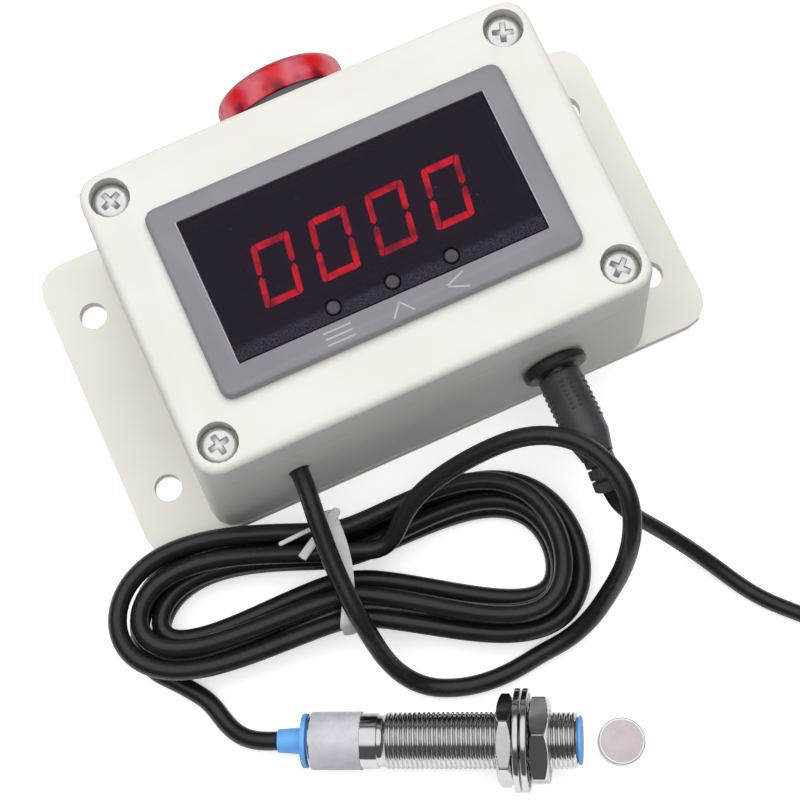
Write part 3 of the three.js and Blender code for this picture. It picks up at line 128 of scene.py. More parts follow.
@dataclass(frozen=True)
class Finish:
    """A surface named for the real material and process, and the record's slot that it stands for."""

    name: str
    slot: Optional[Slot]

    def material(self) -> bpy.types.Material:
        """Builds the material the first time, and hands back the same one after that.

        Returns:
            The Blender material.
        """
        made = bpy.data.materials.get(self.name)
        if made is None:
            made = bpy.data.materials.new(self.name)
            made.use_nodes = True
            made.node_tree.nodes.clear()
            add = partial(add_node, made.node_tree)
            add("OutputMaterial", [self.wire(add)])
        return made

    def wire(self, add: Adder) -> Node:
        """Wires the surface; each kind of finish has its own.

        Args:
            add: adds a node to the material's tree.

        Returns:
            The surface.
        """
        raise NotImplementedError

    @staticmethod
    def millimetres(add: Adder) -> Node:
        """Gives the object's own coordinates in millimetres."""
        place = add("TexCoord").outputs["Object"]
        return add("VectorMath", [place, 1 / MM], operation="SCALE")


@dataclass(frozen=True)
class MouldedPlastic(Finish):
    """Injection-moulded plastic: an even satin skin with a fine spark-eroded grain and a slow drift of tone."""

    # The real grain is about 0.1 mm, too fine to show, so it is drawn as coarse as it needs to show
    colour: str
    shade: str
    roughness: float
    grain_mm: float = 0.35
    grain_depth_mm: float = 0.012
    drift_mm: float = 14.0
    spread: float = 0.08
    ior: float = 1.53

    def wire(self, add: Adder) -> Node:
        """Wires drift of tone, grain and a little spread of gloss.

        Args:
            add: adds a node to the material's tree.

        Returns:
            The surface.
        """
        place = self.millimetres(add)
        drift = add("TexNoise", [place, 1 / self.drift_mm, 3.0])
        tone = add("MapRange", [drift, 0.35, 0.7])
        tint = add("Mix", [tone, linear(self.colour), linear(self.shade)], **BLEND)
        grain = add("TexNoise", [place, 1 / self.grain_mm, 2.0])
        bump = add("Bump", {"Strength": 0.6, "Distance": self.grain_depth_mm * MM, "Height": grain})
        gloss = add("MapRange", [grain, 0.3, 0.7, self.roughness - self.spread, self.roughness + self.spread])
        return add("BsdfPrincipled", {"Base Color": tint, "Roughness": gloss, "Normal": bump, "IOR": self.ior})


@dataclass(frozen=True)
class PlatedMetal(Finish):
    """Plated or bare metal: a bright reflection broken by fine pits and faint clouding."""

    # Real pits are finer than 0.05 mm, too fine to show, so they are drawn as coarse as they need to show
    colour: str
    shade: str
    roughness: float
    grain_mm: float = 0.25
    grain_depth_mm: float = 0.002
    spread: float = 0.06
    cloud_mm: float = 3.5
    least_roughness: float = 0.02

    def wire(self, add: Adder) -> Node:
        """Wires clouding into colour and gloss, and pits into the bump.

        Args:
            add: adds a node to the material's tree.

        Returns:
            The surface.
        """
        place = self.millimetres(add)
        cloud = add("TexNoise", [place, 1 / self.cloud_mm, 4.0])
        pits = add("TexNoise", [place, 1 / self.grain_mm, 3.0])
        tint = add("Mix", [cloud, linear(self.colour), linear(self.shade)], **BLEND)
        low = max(self.roughness - self.spread, self.least_roughness)
        gloss = add("MapRange", [cloud, 0.3, 0.7, low, self.roughness + self.spread])
        bump = add("Bump", {"Strength": 0.5, "Distance": self.grain_depth_mm * MM, "Height": pits})
        return add("BsdfPrincipled", {"Base Color": tint, "Metallic": 1.0, "Roughness": gloss, "Normal": bump})


@dataclass(frozen=True)
class SmokedAcrylic(Finish):
    """Cast acrylic tinted violet-black: a clear gloss, specks of dust, and a grainy paler strip at its lower edge."""

    colour: str
    strip: str
    dust: str
    strip_top: float
    strip_fade: float
    haze_mm: float = 1.6
    grain_mm: float = 0.32
    dust_mm: float = 2.4

    def wire(self, add: Adder) -> Node:
        """Wires the strip by the window's own height, and the dust by scattered cells.

        Args:
            add: adds a node to the material's tree.

        Returns:
            The surface.
        """
        place = self.millimetres(add)
        split = add("SeparateXYZ", [place])
        haze = add("TexNoise", [place, 1 / self.haze_mm, 2.0])
        level = add("Math", [haze, self.strip_fade, split.outputs["Y"]], operation="MULTIPLY_ADD")
        span = [self.strip_top + self.strip_fade, self.strip_top - self.strip_fade * 0.4]
        inside = add("MapRange", [level, *span], **EASED)
        grain = add("TexNoise", [place, 1 / self.grain_mm, 2.0])
        grit = add("MapRange", [grain, 0.42, 0.66, 0.12, 1.0])
        amount = add("Math", [inside, grit], operation="MULTIPLY")
        tint = add("Mix", [amount, linear(self.colour), linear(self.strip)], **BLEND)
        cells = add("TexVoronoi", [place, 1 / self.dust_mm])
        speck = add("MapRange", [cells.outputs["Distance"], 0.05, 0.03, 0.0, 0.5])
        chosen = add("SeparateColor", [cells.outputs["Color"]])
        rare = add("Math", [chosen, 0.86], operation="GREATER_THAN")
        share = add("Math", [speck, rare], operation="MULTIPLY")
        dusted = add("Mix", [share, tint, linear(self.dust)], **BLEND)
        veil = add("MapRange", [amount, 0.0, 1.0, 0.75, 0.98])
        gloss = add("MapRange", [amount, 0.0, 1.0, 0.12, 0.5])
        sockets = {"Base Color": dusted, "Roughness": gloss, "Alpha": veil, "IOR": 1.49, "Specular IOR Level": 0.12}
        return add("BsdfPrincipled", sockets)


@dataclass(frozen=True)
class LitDiode(Finish):
    """A diode bar behind a red filter: it glows unevenly along its length."""

    bright: str
    dim: str
    strength: float
    patch_mm: float

    def wire(self, add: Adder) -> Node:
        """Wires an uneven glow a few millimetres long.

        Args:
            add: adds a node to the material's tree.

        Returns:
            The surface.
        """
        cloud = add("TexNoise", [self.millimetres(add), 1 / self.patch_mm, 1.0])
        share = add("MapRange", [cloud, 0.34, 0.64])
        tint = add("Mix", [share, linear(self.dim), linear(self.bright)], **BLEND)
        sockets = {"Base Color": tint, "Roughness": 0.5, "Emission Color": tint, "Emission Strength": self.strength}
        return add("BsdfPrincipled", sockets)


@dataclass(frozen=True)
class BeaconLens(Finish):
    """Moulded translucent red acrylic over a ring of lamps, with the light through it painted on: saturated over each
    lamp, paler between.
    """

    centre_x: float
    centre_z: float
    base_y: float
    depth: float
    lamps: int = 9
    pale: str = "#D2626E"
    red: str = "#CC141E"
    # painted shade at each lamp's foot, also used for random darker mottling
    dark: str = "#54101E"
    # painted dark rim of shade along the shoulder
    rim: str = "#7A2A36"
    drift_mm: float = 5.5
    cloud_mm: float = 3.6
    blot_mm: float = 4.2
    hub: float = 2.0
    shoulder: float = 11.0
    brim: float = 13.0

    def wire(self, add: Adder) -> Node:
        """Wires the lamps' pattern from the angle round the beacon and the distance along it.

        The painted light through the lens: red comes and goes as the cosine of the lamps' number times the angle,
        stirred by noise and fading to the middle of the face. A painted spot of shade lies at each lamp's foot, the
        shoulder has a painted dark rim of shade, and the lens has a faint painted glow.

        Args:
            add: adds a node to the material's tree.

        Returns:
            The surface.
        """
        place = self.millimetres(add)
        split = add("SeparateXYZ", [place])
        x = add("Math", [split.outputs["X"], self.centre_x], operation="SUBTRACT")
        z = add("Math", [split.outputs["Z"], self.centre_z], operation="SUBTRACT")
        angle = add("Math", [x, z], operation="ARCTAN2")
        sizes = (self.drift_mm, self.cloud_mm, self.blot_mm)
        drift, cloud, blot = (add("TexNoise", [place, 1 / size, 1.0]) for size in sizes)
        swirl = add("Math", [drift, 0.2, angle], operation="MULTIPLY_ADD")
        cycle = add("Math", [swirl, float(self.lamps)], operation="MULTIPLY")
        beat = add("Math", [cycle], operation="COSINE")
        flat = add("CombineXYZ", [x, z])
        out = add("VectorMath", [flat], operation="LENGTH")
        outer = add("MapRange", [out, self.hub, self.shoulder], **EASED)
        edge = add("MapRange", [out, self.shoulder, self.brim], **EASED)
        wave = add("Math", [beat, outer], operation="MULTIPLY")
        stirred = add("Math", [cloud, 2.2, wave], operation="MULTIPLY_ADD")
        over = add("MapRange", [stirred, -0.1, 2.1], **EASED)
        # painted light through the lens: saturated red over each lamp, pale between them
        body = add("Mix", [over, linear(self.pale), linear(self.red)], **BLEND)
        reach = add("MapRange", [split.outputs["Y"], self.base_y, self.base_y + self.depth])
        near = add("MapRange", [reach, 0.55, 0.08], **EASED)
        # painted shade: a dark spot at each lamp's foot
        spot = add("MapRange", [wave, 0.5, 1.0, 0.0, 0.85], **EASED)
        lamp = add("Math", [near, spot], operation="MULTIPLY")
        murk = add("MapRange", [blot, 0.48, 0.78, 0.0, 0.5], **EASED)
        shade = add("Math", [lamp, murk], operation="MAXIMUM")
        dimmed = add("Mix", [shade, body, linear(self.dark)], **BLEND)
        # painted shade: a dark rim along the shoulder
        top = add("MapRange", [reach, 0.74, 0.97, 0.0, 0.9], **EASED)
        rim_shade = add("Math", [top, edge], operation="MULTIPLY")
        tint = add("Mix", [rim_shade, dimmed, linear(self.rim)], **BLEND)
        sockets = {"Base Color": tint, "Roughness": 0.3, "IOR": 1.49, "Specular IOR Level": 0.35}
        # painted glow: the lens gives off a faint light though it is no lamp
        return add("BsdfPrincipled", sockets | {"Emission Color": tint, "Emission Strength": 0.1})


@dataclass(frozen=True)
class StudioPaper(Finish):
    """White sweep paper: it keeps the object's shadow and stays white to the eye."""

    colour: str
    bounce: str
    lift: float
    mirrored_lift: float

    def wire(self, add: Adder) -> Node:
        """Wires paper lifted to white for camera, glossy and transmitted rays, and a duller one for the rest.

        Args:
            add: adds a node to the material's tree.

        Returns:
            The surface.
        """
        rays = add("LightPath").outputs
        seen = add("Math", [rays["Is Camera Ray"], rays["Is Transmission Ray"]], operation="MAXIMUM")
        shown = add("Math", [seen, rays["Is Glossy Ray"]], operation="MAXIMUM")
        mirrored = add("Math", [rays["Is Glossy Ray"], self.mirrored_lift], operation="MULTIPLY")
        level = add("Math", [seen, self.lift, mirrored], operation="MULTIPLY_ADD")
        paper, plain = (add("BsdfDiffuse", [linear(tone)]) for tone in (self.colour, self.bounce))
        glow = add("Emission", [linear("#FFFFFF"), level])
        bright = add("AddShader", [paper, glow])
        return add("MixShader", [shown, plain, bright])


# ABS, moulded: warm near-white satin with a grain too fine to see; the base is a touch greyer and greener
CREAM_ABS = MouldedPlastic("abs_moulded_cream", Slot.CREAM_ABS, "#F0EDE7", "#EBE8E1", 0.5, 0.4, 0.012, 22.0)
CREAM_ABS_BASE = MouldedPlastic("abs_moulded_cream_base", Slot.CREAM_ABS, "#EFECE4", "#EAE7DE", 0.5, 0.4, 0.012, 22.0)
# Nitrile rubber, moulded: matt black
SEAL_RUBBER = MouldedPlastic("nitrile_moulded_black", Slot.SEAL_RUBBER, "#2A2B2D", "#222325", 0.8, 0.3, 0.02)
# Carbon steel, zinc plated: bright with slight clouding
ZINC_STEEL = PlatedMetal("steel_zinc_plated", Slot.ZINC_STEEL, "#F2F0EE", "#D8D5D3", 0.3)
# Brass, turned: warm yellow, plain
BRASS = PlatedMetal("brass_turned", Slot.BRASS, "#D9B560", "#C09A48", 0.3)
# Polycarbonate blend, moulded with a fine texture: violet-grey satin
BEZEL_GREY = MouldedPlastic(
    "polycarbonate_moulded_violet_grey", Slot.BEZEL_GREY, "#8C8A92", "#85838B", 0.42, 0.3, 0.014, 18.0
)
# Acrylic sheet, smoked: violet-black gloss over the digits
SMOKED_WINDOW = SmokedAcrylic("acrylic_smoked_violet", Slot.SMOKED_WINDOW, "#221829", "#3E3448", "#A8A0AC", -12.2, 1.3)
# ABS, moulded black: satin
BLACK_PLASTIC = MouldedPlastic("abs_moulded_black", Slot.BLACK_PLASTIC, "#26272A", "#1F2023", 0.42, 0.3, 0.01)
# Diode bars, lit through a red filter: an uneven deep red glow
DIODE_LIT = LitDiode("diode_bar_lit", Slot.SEGMENT_RED, "#FF0C1C", "#9C0812", 9.0, 3.4)
# Epoxy, cast over unlit diodes: dark wine red
DIODE_DARK = MouldedPlastic("epoxy_cast_wine", Slot.SEGMENT_RED, "#1E1016", "#170C12", 0.4, 0.25, 0.005)
# ABS, moulded dark grey: satin key caps
KEY_DARK = MouldedPlastic("abs_moulded_dark_grey", Slot.KEY_DARK, "#4C4A50", "#3F3D43", 0.5, 0.25, 0.012, 3.0)
# Glass-epoxy boards under green and white solder resist: glossy and flat
CIRCUIT_GREEN = MouldedPlastic("resist_green", Slot.CIRCUIT_GREEN, "#1D5A34", "#174A2B", 0.35, 0.5, 0.01, 6.0)
CIRCUIT_WHITE = MouldedPlastic("resist_white", Slot.CIRCUIT_WHITE, "#E6E6E0", "#DADAD2", 0.4)
# Polyamide, moulded green: plain satin
TERMINAL_GREEN = MouldedPlastic("polyamide_moulded_green", Slot.TERMINAL_GREEN, "#2F6B3C", "#275C33", 0.5)
# Polycarbonate, moulded grey: the beacon's ring, faintly blue
BEACON_GREY = MouldedPlastic("polycarbonate_moulded_grey", Slot.BEACON_GREY, "#58585F", "#4B4B52", 0.45, 0.3, 0.012)
# Soft PVC, extruded: black with a satin sheen that catches soft light
CORD_JACKET = MouldedPlastic("pvc_extruded_black", Slot.CORD_JACKET, "#1B1D22", "#15171B", 0.3, 0.8, 0.006, 9.0, 0.03)
# Soft PVC, moulded over the plug: a slightly paler black than the cord, the paleness a painted highlight
PLUG_PVC = MouldedPlastic("pvc_moulded_black", Slot.CORD_JACKET, "#46454B", "#3C3B40", 0.34, 0.4, 0.006, 6.0, 0.04)
# ABS, moulded with a fine leathery texture: near-black
ADAPTER_BLACK = MouldedPlastic("abs_textured_black", Slot.ADAPTER_BLACK, "#26272A", "#202124", 0.55, 0.6, 0.05)
# Brass, nickel and chrome plated: mirror-bright
POLISHED_CHROME = PlatedMetal("brass_chrome_plated", Slot.POLISHED_CHROME, "#E2E2E4", "#D0CFD0", 0.1, 0.3, 0.002, 0.04)
# Polybutylene, moulded: a clean sky blue
SENSOR_BLUE = MouldedPlastic("polybutylene_moulded_blue", Slot.SENSOR_BLUE, "#70BBFF", "#64ACF4", 0.38, 0.3, 0.01, 6.0)
# Polyester film, metallised: silver-white with a soft even sheen
LABEL_SILVER = MouldedPlastic("polyester_film_silver", Slot.LABEL_SILVER, "#D4D6DC", "#C2C5CE", 0.32, 0.4, 0.006, 5.0)
# Neodymium under nickel plate: a sandy bloom on the faces, and an edge polished by tumbling whose paler colour is a
# painted highlight
MAGNET_NICKEL = PlatedMetal("magnet_nickel_plated", Slot.MAGNET_NICKEL, "#D6CCCD", "#C4BABB", 0.28, 0.22, 0.012)
NICKEL_POLISHED_HIGHLIGHT = PlatedMetal("magnet_nickel_polished_highlight", Slot.MAGNET_NICKEL, "#F4F2F2", "#E4E0E0", 0.16)
# Soft PVC over wire: matt white tie
TIE_WHITE = MouldedPlastic("pvc_soft_white", Slot.TIE_WHITE, "#E8E4EA", "#DAD6DE", 0.6, 0.4, 0.02, 4.0)
# Soft PVC over fine wire: dull red cores
CORE_JACKET = MouldedPlastic("pvc_extruded_red", Slot.CORE_JACKET, "#8A2F2F", "#762626", 0.5)
# Ink printed pale on the bezel; the same pale finish paints the highlight along the window's two ends
PALE_INK_AND_HIGHLIGHT = MouldedPlastic("pale_ink_and_painted_highlight", Slot.BEZEL_GREY, "#C4C0C6", "#B4B0B8", 0.55, 0.3, 0.01, 2.0)
# Studio paper: white to the eye, duller to the light that it throws back
PAPER_WHITE = StudioPaper("paper_white", None, "#F4F4F4", "#BEBEBE", 0.52, 0.12)


# Shapes


@dataclass(frozen=True)
class Seat:
    """Where a piece stands: its origin in millimetres, the way its own z runs, and roughly where its x points."""

    origin: Vector3
    along: Vector3 = (0.0, 0.0, 1.0)
    across: Vector3 = (1.0, 0.0, 0.0)

    def place(self, local: Array) -> Array:
        """Carries local points in millimetres to their place in metres.

        Args:
            local: points, their last axis being x, y and z.

        Returns:
            The same array of points in metres, in the row's frame.
        """
        z = np.array(self.along, float)
        z /= np.linalg.norm(z)
        x = np.array(self.across, float)
        x -= x.dot(z) * z
        x /= np.linalg.norm(x)
        return (np.array(self.origin) + local @ np.stack([x, np.cross(z, x), z])) * MM


def circle(columns: int) -> Array:
    """Gives the angles of evenly spaced columns."""
    return np.arange(columns) / columns * TURN


def polar(radius: Array, angle: Array, height: Array) -> Array:
    """Makes points: radius times the angle's cosine, radius times its sine, and height."""
    return np.stack(np.broadcast_arrays(radius * np.cos(angle), radius * np.sin(angle), height), axis=-1)


def turned(profile: Any, columns: int = 96) -> Array:
    """Turns a profile of radius and height about z."""
    profile = np.array(profile, float)
    return polar(profile[:, :1], circle(columns), profile[:, 1:])


def smoothstep(value: Array, low: float, high: float) -> Array:
    """Rises from 0 at low to 1 at high along three squares less two cubes."""
    share = np.clip((value - low) / (high - low), 0, 1)
    return share * share * (3 - 2 * share)


def make_mesh(name: str, points: Array, *faces: Array) -> bpy.types.Mesh:
    """Puts points and faces into a mesh.

    Args:
        name: the mesh's name.
        points: corner points in metres.
        *faces: tables of corner numbers, a face in each row.

    Returns:
        The mesh.
    """
    mesh = bpy.data.meshes.new(name)
    mesh.from_pydata(points.reshape(-1, 3).tolist(), [], [row for table in faces for row in table.tolist()])
    mesh.update()
    return mesh


def ring_mesh(name: str, rings: Array, joined: bool = False) -> bpy.types.Mesh:
    """Closes a stack of rings: quads between neighbours, and either a fan on each end or the last ring to the first.

    Args:
        name: the mesh's name.
        rings: rings by points of a ring by 3, in metres. Rings turn anticlockwise seen from the stack's far end.
        joined: True closes the stack on itself, as for a washer.

    Returns:
        A closed mesh that faces out.
    """
    rows, columns = rings.shape[:2]
    numbers = np.arange(rows * columns).reshape(rows, columns)
    low = numbers if joined else numbers[:-1]
    high = np.roll(numbers, -1, 0) if joined else numbers[1:]
    quads = np.stack([low, np.roll(low, -1, 1), np.roll(high, -1, 1), high], axis=-1).reshape(-1, 4)
    points = rings.reshape(-1, 3)
    if joined:
        return make_mesh(name, points, quads)
    points = np.vstack([points, rings[0].mean(0), rings[-1].mean(0)])
    first, last, foot = numbers[0], numbers[-1], np.full(columns, rows * columns)
    fans = [[foot, np.roll(first, -1), first], [foot + 1, last, np.roll(last, -1)]]
    return make_mesh(name, points, quads, *(np.stack(fan, axis=-1) for fan in fans))


def softened(profile: Any, reach: float, steps: int = 4, closed: bool = False) -> Array:
    """Rounds the corners of a profile.

    Each corner gives way to a parabola that leaves its two edges a set distance before the corner, or at 45% of a
    shorter edge.

    Args:
        profile: corner points.
        reach: how far from a corner its rounding starts.
        steps: points on each rounding, less one.
        closed: True where the last point runs on to the first.

    Returns:
        The rounded profile's points.
    """
    corners = np.array(profile, float)

    def leave(turns: int) -> Array:
        """Finds where the rounding leaves the edge towards a neighbouring corner.

        Args:
            turns: 1 for the corner before, -1 for the one after.

        Returns:
            The points, one for each corner.
        """
        edge = np.roll(corners, turns, 0) - corners
        long = np.linalg.norm(edge, axis=1, keepdims=True)
        return (corners + edge * np.minimum(reach / np.maximum(long, 1e-9), 0.45))[:, None]

    share = np.linspace(0, 1, steps + 1)[None, :, None]
    curve = (1 - share) ** 2 * leave(1) + 2 * share * (1 - share) * corners[:, None] + share**2 * leave(-1)
    if closed:
        return curve.reshape(-1, 2)
    return np.vstack([corners[:1], curve[1:-1].reshape(-1, 2), corners[-1:]])


def smooth_line(points: Any, samples: int = 16) -> Array:
    """Runs a centripetal Catmull-Rom line through points.

    Each span is a cubic whose end slopes weigh the neighbouring spans by the square root of their lengths.

    Args:
        points: the route's points.
        samples: points worked out on each span.

    Returns:
        The line's points, the last route point among them.
    """
    p = np.array(points, float)
    p = np.vstack([2 * p[0] - p[1], p, 2 * p[-1] - p[-2]])
    p0, p1, p2, p3 = p[:-3], p[1:-2], p[2:-1], p[3:]
    d0, d1, d2 = (np.sqrt(np.linalg.norm(b - a, axis=1))[:, None] for a, b in ((p0, p1), (p1, p2), (p2, p3)))
    leave = ((p1 - p0) / d0 - (p2 - p0) / (d0 + d1) + (p2 - p1) / d1) * d1
    reach = ((p2 - p1) / d1 - (p3 - p1) / (d1 + d2) + (p3 - p2) / d2) * d1
    t = np.linspace(0, 1, samples, endpoint=False)[None, :, None]
    p1, p2, leave, reach = (v[:, None] for v in (p1, p2, leave, reach))
    line = (2 * t**3 - 3 * t**2 + 1) * p1 + (t**3 - 2 * t**2 + t) * leave
    line = line + (3 * t**2 - 2 * t**3) * p2 + (t**3 - t**2) * reach
    return np.vstack([line.reshape(-1, 3), p[-2:-1]])


def length_of(line: Array) -> float:
    """Sums the lengths of a line's steps."""
    return float(np.linalg.norm(np.diff(line, axis=0), axis=1).sum())


def evenly(line: Array, step: float) -> Array:
    """Spaces a line's points evenly: each coordinate is read off at equal lengths along the line.

    Args:
        line: points in millimetres.
        step: roughly how far apart they are to lie.

    Returns:
        The new points, with both ends kept.
    """
    along = np.concatenate([[0], np.cumsum(np.linalg.norm(np.diff(line, axis=0), axis=1))])
    wanted = np.linspace(0, along[-1], max(int(along[-1] / step), 2) + 1)
    return np.stack([np.interp(wanted, along, line[:, i]) for i in range(3)], axis=-1)


def relaxed(line: Array, width: int) -> Array:
    """Eases tight bends: each point becomes the mean of its neighbours, and the ends stay.

    Args:
        line: evenly spaced points.
        width: how many points a mean takes in.

    Returns:
        The eased points.
    """
    padded = np.vstack([np.repeat(line[:1], width // 2, 0), line, np.repeat(line[-1:], width // 2, 0)])
    eased = np.stack([np.convolve(padded[:, i], np.ones(width) / width, "valid") for i in range(3)], axis=-1)
    eased[0], eased[-1] = line[0], line[-1]
    return eased


def swept(line: Array, across: Array, rise: Array) -> Array:
    """Carries a section along a line, square to it, with its own up kept as near as may be to the row's up.

    Args:
        line: points in millimetres.
        across: sideways offsets, one row for each point of the line.
        rise: upward offsets, the same shape.

    Returns:
        Rings of points in metres.
    """
    along = np.gradient(line, axis=0)
    along /= np.linalg.norm(along, axis=1, keepdims=True)
    side = np.cross([0.0, 0.0, 1.0], along)
    side /= np.linalg.norm(side, axis=1, keepdims=True)
    up = np.cross(along, side)
    return (line[:, None] + side[:, None] * across[..., None] + up[:, None] * rise[..., None]) * MM


# Putting pieces into the scene


def stand(mesh: bpy.types.ID, finish: Finish, node: str = "", body: Body = Body.ROOT, sharp: float = 35.0) -> Piece:
    """Puts a mesh or curve into the scene as a piece that rides on a body.

    Args:
        mesh: its mesh or curve, which gives its name.
        finish: its material.
        node: the nodes that it stands for, parted by spaces.
        body: the body that it rides on.
        sharp: edges that turn more than this many degrees stay crisp.

    Returns:
        The piece.
    """
    mesh.materials.append(finish.material())
    if isinstance(mesh, bpy.types.Mesh):
        mesh.shade_smooth()
        mesh.set_sharp_from_angle(angle=math.radians(sharp))
    piece = bpy.data.objects.new(mesh.name, mesh)
    bpy.context.scene.collection.objects.link(piece)
    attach(piece, body.value)
    if node:
        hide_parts(*node.split())
    LOG.info("made %s", piece.name)
    return piece


@dataclass(frozen=True)
class Lathe:
    """Turns rounded profiles about one seat's own z, and stands them as pieces."""

    seat: Seat
    columns: int = 96

    def turn(
        self, name: str, node: str, finish: Finish, profile: Any, reach: float, steps: int = 4, joined: bool = False,
        body: Body = Body.ROOT,
    ) -> None:
        """Turns one piece.

        Args:
            name: the piece's name.
            node: the node that it stands for, if any.
            finish: its material.
            profile: corner points of radius and height, in millimetres.
            reach: how far from a corner its rounding starts.
            steps: points on each rounding, less one.
            joined: True where the profile runs on to its first point.
            body: the body that it rides on.
        """
        rings = turned(softened(profile, reach, steps, joined), self.columns)
        stand(ring_mesh(name, self.seat.place(rings), joined), finish, node, body)


def eased_copy(
    node: str, edge: float, finish: Finish, body: Body = Body.ROOT, limit: float = 38.0,
    crisp_height: Optional[float] = None,
) -> Piece:
    """Stands a merged copy of a node in its place, with its hard edges eased.

    Args:
        node: the node's name.
        edge: width of the easing in millimetres.
        finish: its material.
        body: the body that it rides on.
        limit: edges that turn less than this many degrees are left as they are.
        crisp_height: edges that lie at this height in millimetres stay sharp.

    Returns:
        The piece.
    """
    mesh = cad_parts[node].data.copy()
    mesh.name = f"{node}_eased"
    mesh.materials.clear()
    work = bmesh.new()
    work.from_mesh(mesh)
    bmesh.ops.remove_doubles(work, verts=work.verts, dist=0.002 * MM)
    bmesh.ops.dissolve_limit(work, angle_limit=math.radians(0.05), verts=work.verts, edges=work.edges)
    weight = work.edges.layers.float.new("bevel_weight_edge")
    for line in work.edges:
        turns = line.calc_face_angle(0.0) > math.radians(limit)
        level = crisp_height is not None and all(abs(v.co.z / MM - crisp_height) < 0.02 for v in line.verts)
        line[weight] = float(turns and not level)
    work.to_mesh(mesh)
    work.free()
    piece = stand(mesh, finish, node, body, limit)
    bevel = piece.modifiers.new("eased_edges", "BEVEL")
    bevel.width, bevel.segments, bevel.limit_method = edge * MM, 3, "WEIGHT"
    piece.modifiers.new("flat_faces", "WEIGHTED_NORMAL").keep_sharp = True
    return piece


def dress(finish: Finish, nodes: str) -> list[Piece]:
    """Gives carried-over nodes a finish in place of their plain one.

    Args:
        finish: the material.
        nodes: the nodes' names, parted by spaces.

    Returns:
        The nodes.
    """
    owners = [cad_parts[node] for node in nodes.split()]
    for owner in owners:
        if not owner.material_slots:
            owner.data.materials.append(finish.material())
        for place in owner.material_slots:
            place.material = finish.material()
    LOG.info("dressed %s", nodes)
    return owners


@dataclass(frozen=True)
class Cord:
    """A round cord along a line."""

    name: str
    diameter: float
    exit: Vector3
    far_end: str
    body: Body
    step: float = 1.2
    easing: int = 5

    def lay(self, route: Sequence[Array], nodes: str) -> None:
        """Lays the cord as a curve of one open spline, evenly spaced and eased.

        Args:
            route: stretches of its centreline in millimetres.
            nodes: the nodes that it stands for, parted by spaces.
        """
        line = relaxed(evenly(np.vstack(route), self.step), self.easing)
        curve = bpy.data.curves.new(self.name, "CURVE")
        curve.dimensions = "3D"
        curve.bevel_depth = self.diameter / 2 * MM
        curve.bevel_resolution = 6
        curve.use_fill_caps = True
        spline = curve.splines.new("POLY")
        spline.points.add(len(line) - 1)
        spline.points.foreach_set("co", np.hstack([line * MM, np.ones((len(line), 1))]).ravel())
        stand(curve, CORD_JACKET, nodes, self.body)


@dataclass(frozen=True)
class Studio:
    """The camera at the photograph's place, a pale floor and a wide soft light overhead."""

    lens: float = 102.79
    film_width: float = 36.0
    clip_start: float = 0.01
    clip_end: float = 20.0
    camera_at: Vector3 = (-44.40390254, -139.87703544, 485.50222165)
    right: Vector3 = (0.91132908, -0.41108237, -0.02214933)
    down: Vector3 = (-0.40361064, -0.88157548, -0.24479202)
    ahead: Vector3 = (0.08110338, 0.23202579, -0.96932259)
    floor_reach: float = 3000.0
    floor_gap: float = 0.05
    cap_angle: float = 36.0
    cap_edge: float = 7.0
    cap_lean: float = 12.0
    cap_level: float = 2.45
    dim_level: float = 0.29
    mirrored_cap: float = 1.0
    mirrored_dim: float = 0.1

    def build(self) -> None:
        """Sets up the camera, the floor and the sky."""
        self.place_camera()
        self.lay_floor()
        self.light()

    def place_camera(self) -> None:
        """Stands the camera where the photograph was taken from."""
        data = bpy.data.cameras.new("portrait")
        data.lens, data.sensor_width = self.lens, self.film_width
        data.clip_start, data.clip_end = self.clip_start, self.clip_end
        camera = bpy.data.objects.new("portrait", data)
        axes = np.array([self.right, -np.array(self.down), -np.array(self.ahead)])
        camera.matrix_world = Matrix.Translation([v * MM for v in self.camera_at]) @ Matrix(axes.T.tolist()).to_4x4()
        bpy.context.scene.collection.objects.link(camera)
        bpy.context.scene.camera = camera

    def lay_floor(self) -> None:
        corners = np.array([[-1, -1, 0], [1, -1, 0], [1, 1, 0], [-1, 1, 0]]) * self.floor_reach
        mesh = make_mesh("floor", (corners - [0, 0, self.floor_gap]) * MM, np.array([[0, 1, 2, 3]]))
        mesh.materials.append(PAPER_WHITE.material())
        floor = bpy.data.objects.new("floor", mesh)
        bpy.context.scene.collection.objects.link(floor)

    def light(self) -> None:
        """The cap is where a direction's cosine to the cap's axis passes that of its half angle, with a soft edge. Its
        level makes a white sheet on the floor come out white. Mirrored, it is plain white and the rest is near
        dark, as a soft box shows in bright metal.
        """
        scene = bpy.context.scene
        scene.view_settings.view_transform = "Standard"
        scene.world = bpy.data.worlds.new("soft_sky")
        scene.world.use_nodes = True
        scene.world.node_tree.nodes.clear()
        add = partial(add_node, scene.world.node_tree)
        lean = math.radians(self.cap_lean)
        way = add("TexCoord").outputs["Generated"]
        near = add("VectorMath", [way, (0.0, math.sin(lean), math.cos(lean))], operation="DOT_PRODUCT")
        low, high = (math.cos(math.radians(self.cap_angle + turn)) for turn in (self.cap_edge, -self.cap_edge))
        sky = add("MapRange", [near, low, high, self.dim_level, self.cap_level], **EASED)
        mirrored = add("MapRange", [near, low, high, self.mirrored_dim, self.mirrored_cap], **EASED)
        rays = add("LightPath").outputs
        shown = add("Mix", [rays["Is Glossy Ray"], sky, mirrored], data_type="FLOAT")
        soft, white = (add("Background", [linear("#FFFFFF"), level]) for level in (shown, 1.0))
        both = add("MixShader", [rays["Is Camera Ray"], soft, white])
        add("OutputWorld", [both])


